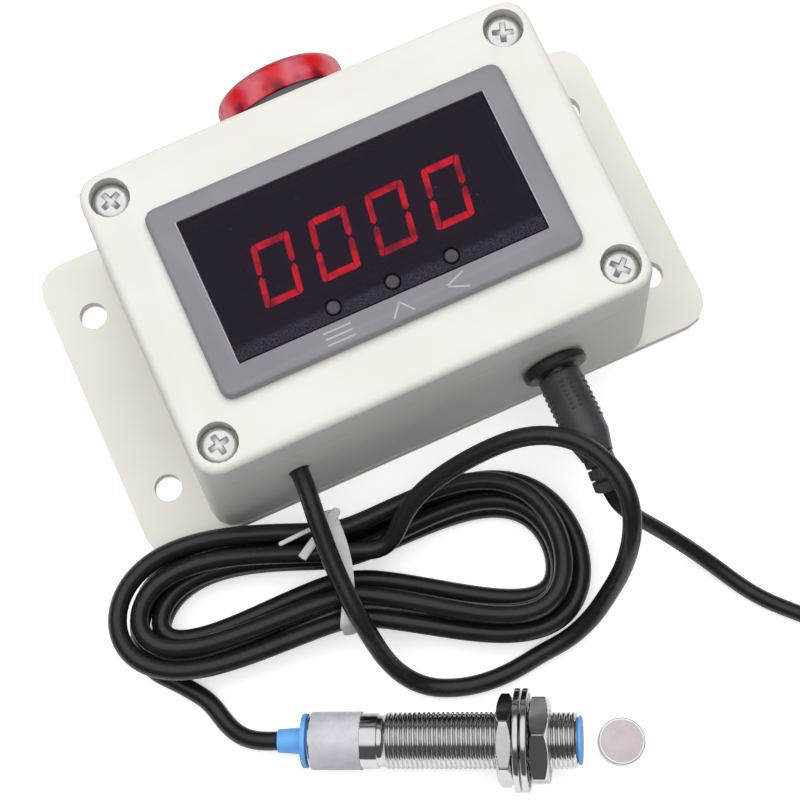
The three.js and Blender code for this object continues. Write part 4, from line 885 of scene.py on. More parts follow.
@dataclass(frozen=True)
class PowerLead:
    """The barrel plug, its cord, the stored coil and the wall adapter."""

    diameter: float = 3.5
    plug: Vector3 = (26.8, -37.642, 22.0)
    grip_radius: float = 4.7
    grip_length: float = 14.6
    grip_round: float = 0.8
    neck_radius: float = 3.5
    neck_length: float = 4.6
    bore_radius: float = 3.0
    bore_depth: float = 4.4
    rib_start: float = 2.4
    rib_pitch: float = 1.25
    rib_count: int = 8
    rib_proud: float = 0.24
    bump_pitch: float = 1.0
    bump_count: int = 7
    bump_share: float = 0.8
    relief_radius: float = 2.8
    relief_core: float = 2.35
    relief_rib_radius: float = 3.3
    relief_ribs: int = 3
    coil_centre: tuple[float, float] = (92.4, -102.5)
    coil_radius: float = 26.0
    coil_pitch: float = 4.02
    coil_start: float = 226.2
    coil_turns: float = 7.3717
    floor_gap: float = 0.05
    shell_corner: float = 3.5
    shell_wall: float = 2
    shell_hole: float = 6.4

    RELIEF_ROUTE = (
        (26.8, -56.9, 22), (26.7, -58.7, 21.9), (26.5, -60.5, 21.65), (26.35, -62.3, 21.1), (26.3, -63.9, 20.3),
    )
    LEAD_ROUTE = (
        (26.3, -64.17, 20.16), (26.5, -65.8, 19.25), (27.2, -67.7, 17.8), (28.8, -69.8, 15.5), (31, -72, 12.9),
        (33.8, -74.9, 10), (36.8, -78.4, 7.1), (39.7, -82.2, 4.6), (42.4, -86.4, 2.9), (45.1, -91.1, 2),
        (48, -95.5, 1.8), (51.3, -99.3, 1.8), (55.8, -103.9, 1.8), (61, -109.6, 1.8), (68, -116.8, 1.8),
        (71.28, -119.09, 1.8),
    )
    TAIL_ROUTE = (
        (118.99, -98.74, 5.82), (119.25, -97, 5.85), (119.4, -95.3, 6.4), (119.3, -93.5, 7.9), (119, -91.7, 10),
        (118.7, -89.9, 11.8), (118.5, -88.2, 12.8), (118.4, -86.8, 13), (118.4, -83.3, 13),
    )

    def build(self) -> None:
        """Makes the plug and the adapter, and lays the cord from inside the relief."""
        pieces = [self.make_relief(), self.make_grip(), self.make_shell()]
        pieces.append(eased_copy("adapter_cover", 0.6, ADAPTER_BLACK, Body.POWER_LEAD))
        pieces.append(eased_copy("adapter_gland", 0.25, CORD_JACKET, Body.POWER_LEAD))
        pieces += dress(ZINC_STEEL, "plug_barrel adapter_blade_left adapter_blade_right")
        start, lead, tail = (smooth_line(way) for way in (self.RELIEF_ROUTE, self.LEAD_ROUTE, self.TAIL_ROUTE))
        cord = Cord("power_cord", self.diameter, self.plug, "plug", Body.POWER_LEAD)
        cord.lay([start[8:-1], lead, self.coil(), tail], "power_cord_lead power_cord_coil power_cord_tail")

    def coil(self) -> Array:
        """Winds the stored coil.

        The radius falls a pitch a turn to the half-way mark and grows back after it, and the height climbs one pitch
        in the half turn around that mark.

        Returns:
            The coil's centreline in millimetres.
        """
        turn = np.linspace(0, self.coil_turns, int(self.coil_turns * 72) + 1)
        half = self.coil_turns / 2
        radius = self.coil_radius - self.coil_pitch * (half - np.abs(turn - half))
        lift = smoothstep(turn, half - 0.25, half + 0.25) * self.coil_pitch
        rings = polar(radius, math.radians(self.coil_start) + turn * TURN, self.diameter / 2 + self.floor_gap + lift)
        return rings + [*self.coil_centre, 0.0]

    def make_relief(self) -> Piece:
        """Makes the strain relief: a tapered sleeve with square ribs along a short bend.

        Returns:
            The relief.
        """
        line = evenly(smooth_line(self.RELIEF_ROUTE), 0.07)
        share = np.linspace(0, 1, len(line))[:, None]
        phase = share * self.relief_ribs % 1.0
        rib = np.where(share < 0.1, 1.0, smoothstep(phase, 0.06, 0.13)) * (1 - smoothstep(phase, 0.87, 0.94))
        radius = self.relief_core * (1 - 0.1 * share) + (self.relief_rib_radius - self.relief_core) * rib
        radius[-1] *= 0.82
        angle = circle(40)
        mesh = ring_mesh("plug_relief_ribbed", swept(line, radius * np.cos(angle), radius * np.sin(angle)))
        return stand(mesh, PLUG_PVC, "plug_relief", Body.POWER_LEAD, 50.0)

    def make_grip(self) -> Piece:
        """Makes the plug's grip.

        It is turned from a rounded profile. Cross ribs stand proud on two sides, and two columns of short ribs on the
        other two: a rib's height is a pulse along the grip times a window of angle.

        Returns:
            The grip.
        """
        end = self.grip_length + self.neck_length
        height = np.concatenate([np.linspace(0, self.grip_length, 170), np.linspace(self.grip_length, end, 24)[1:]])
        bend = self.grip_round
        edge = bend - np.sqrt(np.clip(bend**2 - np.clip(bend - height, 0, bend) ** 2, 0, None))
        waist = np.clip((height - self.grip_length) / self.neck_length, 0, 1)
        radius = self.grip_radius - edge - (self.grip_radius - self.neck_radius) * smoothstep(waist, -0.25, 1.15) ** 1.1
        angle = circle(144)

        def pulse(pitch: float, count: int) -> Array:
            """Gives a row of square bumps along the grip, each half a pitch long.

            Args:
                pitch: from one bump to the next, in millimetres.
                count: how many there are.

            Returns:
                Their height from 0 to 1, a row for each height.
            """
            phase = ((height - self.rib_start) % pitch) / pitch
            rise = smoothstep(phase, 0.06, 0.2) * (1 - smoothstep(phase, 0.5, 0.64))
            return (rise * (height > self.rib_start) * (height < self.rib_start + count * pitch))[:, None]

        off = np.abs(np.cos(angle))
        ribs = pulse(self.rib_pitch, self.rib_count) * smoothstep(off, 0.82, 0.88)
        columns = (np.abs(np.sin(angle)) > 0.5) * smoothstep(off, 0.08, 0.12) * (1 - smoothstep(off, 0.2, 0.24))
        bumps = self.bump_share * pulse(self.bump_pitch, self.bump_count) * columns
        side = polar(radius[:, None] + self.rib_proud * (ribs + bumps), angle, height[:, None])
        depth, bore = self.bore_depth, self.bore_radius
        inner = turned([(0.02, depth), (bore, depth), (bore, 0.0)], len(angle))
        cap = turned([(self.relief_radius, end), (0.02, end)], len(angle))
        seat = Seat(self.plug, (0.0, -1.0, 0.0))
        mesh = ring_mesh("plug_grip_ribbed", seat.place(np.concatenate([inner, side, cap])))
        return stand(mesh, PLUG_PVC, "plug_grip", Body.POWER_LEAD, 40.0)

    def make_shell(self) -> Piece:
        """Makes the adapter's shell: an open box with round corners, carried along Y, and a round hole in its end.

        Returns:
            The shell.
        """
        low, high = (np.array(corner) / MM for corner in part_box("adapter_shell"))
        centre, half = (low + high) / 2, (high - low) / 2
        corner, wall, bend = self.shell_corner, self.shell_wall, self.shell_corner / 2
        quarter = np.arange(4).repeat(13) * TURN / 4
        angle = quarter + np.tile(np.linspace(0, TURN / 4, 13), 4)
        side = np.sign(polar(1.0, quarter + TURN / 8, 0.0)) * [half[0] - corner, half[2] - corner, 0.0]

        def box(inset: float, y: float) -> Array:
            """Gives one ring of the box, taken in by an inset."""
            return side + polar(corner - inset, angle, y)

        turns = np.linspace(0, TURN / 4, 6)
        edge = [box(bend * (1 - math.sin(t)), low[1] + bend * (1 - math.cos(t))) for t in turns]
        hole, inner_hole = (polar(self.shell_hole / 2, angle, y) for y in (low[1], low[1] + wall))
        rings = [hole, *edge, box(0.0, high[1]), box(wall, high[1]), box(wall, low[1] + wall), inner_hole]
        seat = Seat((centre[0], 0.0, centre[2]), (0.0, 1.0, 0.0))
        mesh = ring_mesh("adapter_shell_round", seat.place(np.array(rings)), True)
        shell = stand(mesh, ADAPTER_BLACK, "adapter_shell", Body.POWER_LEAD)
        shell.modifiers.new("flat_faces", "WEIGHTED_NORMAL").keep_sharp = True
        return shell


@dataclass(frozen=True)
class SensorCord:
    """The sensor's cord: out of the box, through a tied hank and on to the sensor."""

    diameter: float = 4.0
    exit: Vector3 = (-31.0, -35.2, 25.0)
    centre: tuple[float, float] = (-30.6, -54.8)
    yaw: float = -14.0
    reach_right: float = 52.0
    reach_left: float = 46.0
    waist: float = 9.6
    spread_right: float = 33.0
    spread_left: float = 24.0
    shift_right: float = -4.5
    shift_left: float = -6.0
    shift_per_layer: float = 1.2
    reach_per_layer: float = 1.6
    pitch: float = 4.55
    loops: float = 5.3333
    end_angle: float = 210.0
    climb_angle: float = 270.0
    layer_loops: float = 2.0
    floor_gap: float = 0.05
    tie_half: float = 12.45
    tie_low: float = 0.38
    tie_high: float = 14.78
    tie_width: float = 1.35
    tie_thickness: float = 0.35

    TIE_ENDS = (
        ("tongue", 1.0, 1.0,
         ((-30.4, -45.9, 15.15), (-29.3, -45.1, 15.45), (-28.1, -44.35, 15.5), (-26.5, -43.3, 15.2))),
        ("thin_end", 0.48, 0.5,
         ((-29.6, -45.3, 15.2), (-32, -45, 15.3), (-35, -45, 15.2), (-38, -45.1, 15.15), (-41, -45.2, 15.1))),
        ("cut_end", 0.95, 0.12,
         ((-29.4, -46, 15.3), (-31.4, -46.6, 15.5), (-33.6, -47.5, 15.45), (-35.7, -48.65, 15.3),
          (-37.8, -49.9, 15.2))),
    )
    LEAD_ROUTE = (
        (-31, -22.5, 25), (-31, -28, 25), (-31, -34.5, 25), (-31.1, -38.2, 24.9), (-31.5, -42.4, 24.5),
        (-32, -47, 23.6), (-32.3, -51.5, 22.4), (-32.5, -56.2, 21.2), (-32.4, -60.8, 20.2), (-32.2, -65.3, 19),
        (-31.6, -69.6, 16.9), (-30.9, -73.4, 12.8), (-29.7, -77, 8.2), (-27.5, -80.6, 4.6), (-24, -83.9, 2.5),
        (-19.8, -86, 2.05), (-15.3, -87.4, 2.05), (-10.7, -88, 2.1), (-5.6, -88, 2.3), (0.4, -87.3, 3),
        (6.6, -87, 4.6), (12.6, -85.4, 7.8), (17.6, -82.8, 13), (21.4, -80.3, 19.4), (24.1, -77.4, 25),
        (26.1, -73.9, 28.6), (27.2, -70.2, 30.8), (27.5, -66.4, 31.9), (26.9, -62.4, 32.3), (25.5, -58.6, 32.3),
        (23.3, -55, 32.1), (20.2, -51.9, 31.6), (16.2, -49.5, 30.8), (11.4, -47.9, 29.2), (6.2, -47.2, 27),
        (0.6, -47, 24.4), (-4.8, -47.3, 21.6), (-9.7, -48.2, 19), (-13.7, -49.9, 16.8), (-16.8, -52.2, 14.7),
        (-19.4, -54, 12.9), (-22, -54.3, 12.2), (-25.71, -53.01, 12.15),
    )
    TAIL_ROUTE = (
        (-70.4, -63.42, 2.15), (-68.3, -66.3, 2.15), (-67.3, -68.4, 2.2), (-66.9, -70.6, 2.4), (-66.2, -73.3, 2.8),
        (-65.1, -76, 3.5), (-63.2, -78.4, 4.3), (-60.6, -80.1, 5), (-57.88, -81.28, 5.33),
    )

    def build(self) -> None:
        """Makes the ties and lays the cord."""
        dress(TIE_WHITE, "cable_tie")
        tie = self.make_tie()
        route = [smooth_line(self.LEAD_ROUTE), self.hank()[::-1], smooth_line(self.TAIL_ROUTE)]
        cord = Cord("sensor_cord", self.diameter, self.exit, "object", Body.ROOT)
        cord.lay(route, "sensor_cord_lead sensor_cord_hank sensor_cord_tail")

    def in_place(self, u: Array, v: Array, z: Array) -> Array:
        """Carries places in the hank's own frame to the row's frame.

        Args:
            u: place along the hank, in millimetres.
            v: place across it.
            z: height.

        Returns:
            Points in millimetres.
        """
        cosine, sine = math.cos(math.radians(self.yaw)), math.sin(math.radians(self.yaw))
        x, y = self.centre[0] + u * cosine - v * sine, self.centre[1] + u * sine + v * cosine
        return np.stack(np.broadcast_arrays(x, y, z), axis=-1)

    def make_tie(self) -> list[Piece]:
        """Makes the soft tie round the hank's waist, with its tongue and its two ends.

        The band runs round a rounded rectangle with an elliptic section, and over the top it bows along the hank by
        a parabola. Each end is a flat ellipse carried along a short line, and its width falls away at its tip along
        a quarter ellipse.

        Returns:
            The tie's pieces.
        """
        w, low, high = self.tie_half, self.tie_low, self.tie_high
        corners = softened([(-w, low), (w, low), (w, high), (-w, high)], 3.0, 8, True)
        loop = np.vstack([corners, corners[:1]])
        loop = evenly(np.column_stack([np.zeros(len(loop)), loop]), 0.4)[:-1, 1:]
        along = np.roll(loop, -1, 0) - np.roll(loop, 1, 0)
        along /= np.linalg.norm(along, axis=1, keepdims=True)
        v, height = loop.T
        bow = -1.1 + smoothstep(height, 4.0, high) * (1.8 - 1.9 * ((v - 0.5) / 12) ** 2)
        turn = circle(28)
        out, side = self.tie_thickness * np.cos(turn), -self.tie_width * np.sin(turn)
        across, up = v[:, None] + along[:, 1:] * out, height[:, None] - along[:, :1] * out
        mesh = ring_mesh("hank_tie_band", self.in_place(bow[:, None] + side, across, up) * MM, True)
        pieces = [stand(mesh, TIE_WHITE, "hank_tie")]
        for name, half, tip, route in self.TIE_ENDS:
            line = evenly(smooth_line(route), 0.12)
            reach = np.linspace(1, 0, len(line)) * length_of(line)
            width = half * np.sqrt(1 - np.clip(1 - reach / tip, 0, 0.995) ** 2)[:, None]
            thick = np.minimum(self.tie_thickness, width)
            mesh = ring_mesh(f"hank_tie_{name}", swept(line, width * np.cos(turn), thick * np.sin(turn)))
            pieces.append(stand(mesh, TIE_WHITE))
        return pieces

    def outline(self, angle: Array, layer: Array) -> Array:
        """Draws the hank's outer loop.

        Its half width grows from the waist to each lobe's spread with the cosine's size to the power four thirds,
        and a sideways shift grows with the cosine squared.

        Args:
            angle: place round the loop, in radians.
            layer: layer number, from 0 at the floor.

        Returns:
            Points in the hank's own plane, in millimetres.
        """
        cosine = np.cos(angle)
        right = cosine > 0
        spread = np.where(right, self.spread_right, self.spread_left)
        shift = np.where(right, self.shift_right, self.shift_left + layer * self.shift_per_layer)
        growth = layer * self.reach_per_layer
        reach = np.where(right, self.reach_right - growth, self.reach_left + growth)
        width = np.sin(angle) * (self.waist + (spread - self.waist) * np.abs(cosine) ** (4 / 3))
        return np.stack([reach * cosine, width + shift * cosine**2], axis=-1)

    def hank(self) -> Array:
        """Winds the hank.

        Each turn lies inside the outer loop by an inset that runs in, out and in again at one pitch a loop, and the
        height climbs a pitch in the half turn around each reversal.

        Returns:
            The hank's centreline in millimetres, from its sensor end.
        """
        first = (self.end_angle - self.climb_angle) / 360 + self.layer_loops
        second = first + self.layer_loops
        turn = np.linspace(0, self.loops, int(self.loops * 96) + 1)
        layer = sum(smoothstep(turn, change - 0.25, change + 0.25) for change in (first, second))
        inward = np.where(turn < first, turn, 2 * first - turn)
        inset = self.pitch * np.where(turn < second, inward, first - self.layer_loops + (turn - second))
        angle = math.radians(self.end_angle) - turn * TURN
        small = math.pi / 800
        along = self.outline(angle + small, layer) - self.outline(angle - small, layer)
        along /= np.linalg.norm(along, axis=1, keepdims=True)
        flat = self.outline(angle, layer) + np.stack([-along[:, 1], along[:, 0]], axis=-1) * inset[:, None]
        z = self.diameter / 2 + self.floor_gap + np.sin(angle) ** 4 + layer * self.pitch
        return self.in_place(flat[:, 0], flat[:, 1], z)


@dataclass(frozen=True)
class Enclosure:
    """The flanged base, the lid, its seal and its four screws."""

    seam: float = 36.3
    screw_x: float = 44.0
    screw_y: float = 28.0
    screw_seat: float = 43.2
    head_radius: float = 3.65
    head_height: float = 2.7
    head_round: float = 0.7
    shank: Profile = ((0.02, -25), (0.9, -25), (1.9, -21.2), (1.9, 0), (3.65, 0))
    recess_span: float = 4.6
    recess_width: float = 1.15
    recess_depth: float = 0.65
    # Each screw's side along and across the box, and how far it was turned home in degrees
    screws: tuple[Vector3, ...] = ((-1, 1, 25), (1, 1, 70), (1, -1, 40), (-1, -1, 10))

    def build(self) -> None:
        """Makes the box's pieces."""
        dress(SEAL_RUBBER, "lid_gasket")
        eased_copy("enclosure_base", 0.45, CREAM_ABS_BASE)
        eased_copy("enclosure_lid", 0.3, CREAM_ABS, crisp_height=self.seam)
        head = self.screw_rings()
        for number, (side_x, side_y, turn) in enumerate(self.screws, 1):
            angle = math.radians(turn)
            place = (side_x * self.screw_x, side_y * self.screw_y, self.screw_seat)
            seat = Seat(place, across=(math.cos(angle), math.sin(angle), 0.0))
            mesh = ring_mesh(f"lid_screw_{number}_panhead", seat.place(head))
            stand(mesh, ZINC_STEEL, f"lid_screw_{number}", sharp=50.0)

    def screw_rings(self) -> Array:
        """Draws a pan-head screw: a height over a polar grid, less a cross whose arms fall away smoothly.

        Returns:
            Its rings in millimetres, with the head's underside at 0.
        """
        radius, height, bend = self.head_radius, self.head_height, self.head_round
        wall = np.stack([np.full(4, radius), np.linspace(0.1, height - bend, 4)], axis=-1)
        share = np.linspace(0, 1, 60)[1:]
        reach = radius * (1 - share) + 0.01 * share
        crown = height - bend + bend * (1 - np.clip(reach / radius, 0, 1) ** 8) ** 0.5
        rings = turned(np.vstack([softened(self.shank, 0.1), wall, np.stack([reach, crown], axis=-1)]), 240)
        arm = np.abs(rings[..., :2])
        long, short = arm.max(-1), arm.min(-1)
        slope = np.clip(1 - (2 * long / self.recess_span) ** 1.6, 0, 1)
        cut = slope * (1 - smoothstep(short, self.recess_width / 2 - 0.12, self.recess_width / 2 + 0.06))
        rings[..., 2] -= cut * (rings[..., 2] > height - bend - 0.01) * self.recess_depth
        return rings


@dataclass(frozen=True)
class PanelMeter:
    """The panel display: its case, window, digits, keys and the marks beside the keys."""

    digit_count: int = 4
    digit_pitch: float = 12.7
    digit_height: float = 13.2
    digit_width: float = 8.4
    bar_width: float = 1.25
    bar_gap: float = 0.3
    bar_rise: float = 0.6
    slant: float = 0.17
    offset_y: float = 0.2
    digit_rise: float = 0.5
    digit_climb: float = 0.0145
    slab_bottom: float = 44.5
    slab_top: float = 45.7
    slab_length: float = 49.5
    slab_width: float = 15.8
    point_radius: float = 0.75
    key_first: float = -12.2
    key_pitch: float = 12.9
    key_y: float = -12.8
    key_radius: float = 1.4
    collar_radius: float = 2.2
    collar_top: float = 46.65
    collar_thickness: float = 0.7
    stroke: float = 0.34
    mark_z: float = 50.3
    mark_rise: float = 0.03
    # the painted highlight strips along the window's two ends: their gap from the window and their width
    lip_gap: float = 0.3
    lip_width: float = 0.16

    # The marks' strokes, each from its start to its end: three bars, an upward chevron and a leftward one
    STROKES = (
        (-16.4, -17.2, -10.4, -17.2), (-16.4, -18.5, -10.4, -18.5), (-16.4, -19.8, -10.4, -19.8),
        (-2.2, -20.1, 0.1, -17.3), (0.1, -17.3, 2.4, -20.1),
        (14.3, -16.7, 10.0, -18.4), (10.0, -18.4, 14.3, -20.1),
    )

    def build(self) -> None:
        """Makes the display's pieces, and dresses the nodes inside and the wires that end on its terminals."""
        dress(BLACK_PLASTIC, "meter_rear_cover digit_housing")
        dress(ZINC_STEEL, "meter_clip_left meter_clip_right")
        dress(CIRCUIT_GREEN, "display_board")
        dress(TERMINAL_GREEN, "terminal_block")
        dress(CORE_JACKET, "sensor_cores supply_cores beacon_cores")
        eased_copy("meter_case", 0.2, BEZEL_GREY)
        eased_copy("meter_lens", 0.12, SMOKED_WINDOW)
        self.make_digits()
        self.make_keys()
        self.make_marks()
        self.make_lip_highlight()

    def bars(self) -> Array:
        """Draws a digit's seven bars, each with six corners.

        The uprights run to the corners, where they are cut aslant, and are pointed at the middle of the digit. Top
        and foot lie between them, and the middle is pointed at both ends.

        Returns:
            Corner points of the bars: across the top, the middle and the foot, then the four uprights.
        """
        w, h, t, g = self.digit_width / 2, self.digit_height / 2, self.bar_width, self.bar_gap
        cut, end, half = 0.6 * t, w - t / 2 - g, t / 2
        top = [(cut + g - w, h), (t + g - w, h - t), (0, h - t), (w - t - g, h - t), (w - cut - g, h), (0, h)]
        middle = [(-end, 0), (half - end, -half), (end - half, -half), (end, 0), (end - half, half), (half - end, half)]
        left = [(-w, h - 0.3 * t), (-w, g + 0.4 * t), (half - w, g), (t - w, g + half), (t - w, h - t), (cut - w, h)]
        top, middle, left = (np.array(bar) for bar in (top, middle, left))
        foot, right = (top * [1, -1])[::-1], (left * [-1, 1])[::-1]
        return np.stack([top, middle, foot, left, right, (left * [1, -1])[::-1], (right * [1, -1])[::-1]])

    def stand_prisms(
        self, name: str, outlines: Array, bottom: float, top: float, finish: Finish, node: str = ""
    ) -> None:
        """Stands outlines up as closed prisms of one piece.

        Args:
            name: the piece's name.
            outlines: corner points of many outlines of one corner count, anticlockwise.
            bottom: their foot's height.
            top: their top's height.
            finish: their material.
            node: the node that they stand for, if any.
        """
        count, corners = outlines.shape[:2]
        flat = np.concatenate([outlines, outlines], axis=1)
        height = np.broadcast_to(np.repeat([bottom, top], corners)[None, :, None], (count, corners * 2, 1))
        ring, starts = np.arange(corners), (np.arange(count) * corners * 2)[:, None]
        following = np.roll(ring, -1)
        walls = np.stack([ring, following, following + corners, ring + corners], axis=-1)
        sides = (starts[..., None] + walls[None]).reshape(-1, 4)
        points = np.concatenate([flat, height], axis=-1) * MM
        stand(make_mesh(name, points, starts + ring[::-1], starts + ring + corners, sides), finish, node)

    def make_digits(self) -> None:
        """Makes the slab, the lit bars of four noughts, and the bars and points that stay dark."""
        x = (np.arange(self.digit_count) - (self.digit_count - 1) / 2) * self.digit_pitch
        bars = self.bars()
        bars[..., 0] += bars[..., 1] * self.slant
        placed = bars[None] + np.stack([x, np.full(len(x), self.offset_y + self.digit_rise)], axis=-1)[:, None, None]
        placed[..., 1] += placed[..., 0] * self.digit_climb
        foot, top = self.slab_top - 0.1, self.slab_top + self.bar_rise
        self.stand_prisms("digit_bars_lit", placed[:, [0, 2, 3, 4, 5, 6]].reshape(-1, 6, 2), foot, top, DIODE_LIT)
        self.stand_prisms("digit_bars_dark", placed[:, 1], foot, top, DIODE_DARK)
        point = [(self.digit_width + self.bar_width) / 2, self.offset_y + (self.bar_width - self.digit_height) / 2]
        dots = polar(self.point_radius, circle(24), 0.0)[None, :, :2]
        dots = dots + (np.stack([x, np.zeros(len(x))], axis=-1) + point)[:, None]
        self.stand_prisms("digit_points", dots, foot, top, DIODE_DARK)
        half = np.array([self.slab_length, self.slab_width]) / 2
        slab = np.array([[-1, -1], [1, -1], [1, 1], [-1, 1]]) * half + [0, self.offset_y]
        self.stand_prisms("digit_slab", slab[None], self.slab_bottom, self.slab_top, DIODE_DARK, "digit_segments")

    def make_keys(self) -> None:
        """Makes three key caps: a turned stem with a collar under the window and a crowned top."""
        stem, collar, shelf = self.key_radius, self.collar_top, self.collar_top - self.collar_thickness
        for number, body in enumerate((Body.KEY_SET, Body.KEY_UP, Body.KEY_SHIFT)):
            bottom, top = (corner.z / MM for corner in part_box(body.value))
            profile = [
                (0.02, bottom), (stem, bottom), (stem, shelf), (self.collar_radius, shelf),
                (self.collar_radius, collar), (stem, collar), (stem, top - 0.12), (stem * 0.82, top),
                (0.02, top - 0.06),
            ]
            lathe = Lathe(Seat((self.key_first + number * self.key_pitch, self.key_y, 0.0)), 64)
            lathe.turn(f"{body}_cap", body.value, KEY_DARK, profile, 0.12, 5, body=body)

    def make_lip_highlight(self) -> None:
        """Paints a highlight along the two ends of the bezel's opening, as thin pale strips."""
        low, high = (np.array(corner[:2]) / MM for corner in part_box("meter_lens"))
        (left, bottom), (right, top) = low - self.lip_gap, high + self.lip_gap
        spans = ((left - self.lip_width, left), (right, right + self.lip_width))
        strips = np.array([[[near, bottom], [far, bottom], [far, top], [near, top]] for near, far in spans])
        self.stand_prisms("bezel_lip_highlight", strips, self.mark_z - 0.2, self.mark_z + self.mark_rise, PALE_INK_AND_HIGHLIGHT)

    def make_marks(self) -> None:
        """Prints the marks beside the keys: each stroke is a strip as far to either side of its line."""
        ends = np.array(self.STROKES).reshape(-1, 2, 2)
        way = ends[:, 1] - ends[:, 0]
        way /= np.linalg.norm(way, axis=1, keepdims=True)
        side = np.stack([-way[:, 1], way[:, 0]], axis=-1) * self.stroke / 2
        a, b = ends[:, 0], ends[:, 1]
        strips = np.stack([a - side, b - side, b + side, a + side], axis=1)
        self.stand_prisms("bezel_marks", strips, self.mark_z - 0.01, self.mark_z + self.mark_rise, PALE_INK_AND_HIGHLIGHT)


@dataclass(frozen=True)
class Beacon:
    """The alarm beacon on the back wall."""

    seat: Seat = Seat((-1.0, 35.4617, 21.0), (0.0, 1.0, 0.0))
    radius: float = 14.4
    lens_bottom: float = 4.7
    lens_depth: float = 6.8
    lens_round: float = 2.1
    lens_wall: float = 1.5
    lens_bevel: float = 0.15
    face_radius: float = 6.0
    body: Profile = (
        (0.02, -28), (10.8, -28), (10.8, 1.5), (14.4, 1.5), (14.4, 4.4), (11.8, 4.4), (11.8, 2.6), (9, 2.6),
        (9, -26.2), (0.02, -26.2),
    )

    def build(self) -> None:
        """Turns the lens, and the stepped body whose ring carries it."""
        dress(SEAL_RUBBER, "beacon_seal")
        dress(CIRCUIT_WHITE, "beacon_board")
        dress(BLACK_PLASTIC, "sounder_disc beacon_nut")
        dress(BRASS, "beacon_terminal_left beacon_terminal_right")
        self.make_lens()
        Lathe(self.seat, 128).turn("beacon_body_turned", "beacon_body", BEACON_GREY, self.body, 0.3)

    def make_lens(self) -> None:
        """Turns the lens: a cup with a well-rounded shoulder and an even wall."""
        low, wall, radius, bevel = self.lens_bottom, self.lens_wall, self.radius, self.lens_bevel
        top = low + self.lens_depth
        bend = np.linspace(0, TURN / 4, 14)

        def shoulder(inset: float) -> Array:
            """Gives the quarter circle between the side and the face, taken in by a wall."""
            arc = polar(self.lens_round - inset, bend, 0.0)[:, :2]
            return arc + [radius - self.lens_round, top - self.lens_round]

        foot = [(radius - wall, low), (radius - bevel, low), (radius, low + bevel)]
        face = [(self.face_radius, top), (0.02, top), (0.02, top - wall), (self.face_radius, top - wall)]
        rings = turned(np.vstack([foot, shoulder(0), face, shoulder(wall)[::-1]]), 128)
        x, y, z = self.seat.origin
        finish = BeaconLens("acrylic_moulded_red", Slot.BEACON_RED, x, z, y + low, self.lens_depth)
        stand(ring_mesh("beacon_lens_turned", self.seat.place(rings), True), finish, "beacon_lens")


@dataclass(frozen=True)
class PowerSocket:
    """The power socket in the front wall."""

    seat: Seat = Seat((26.8, -37.2417, 22.0), (0.0, -1.0, 0.0))
    body: Profile = (
        (1.3, -21), (5.4, -21), (5.4, -2), (7, -2), (7, -0.5), (6.4, 0), (3.3, 0), (3.3, -11.5), (1.3, -11.5),
    )

    def build(self) -> None:
        """Turns the flanged barrel, whose mouth is bored down to the pin."""
        dress(ZINC_STEEL, "jack_nut")
        dress(BRASS, "jack_pin jack_contact")
        Lathe(self.seat).turn("jack_body_turned", "jack_body", BLACK_PLASTIC, self.body, 0.25, joined=True)


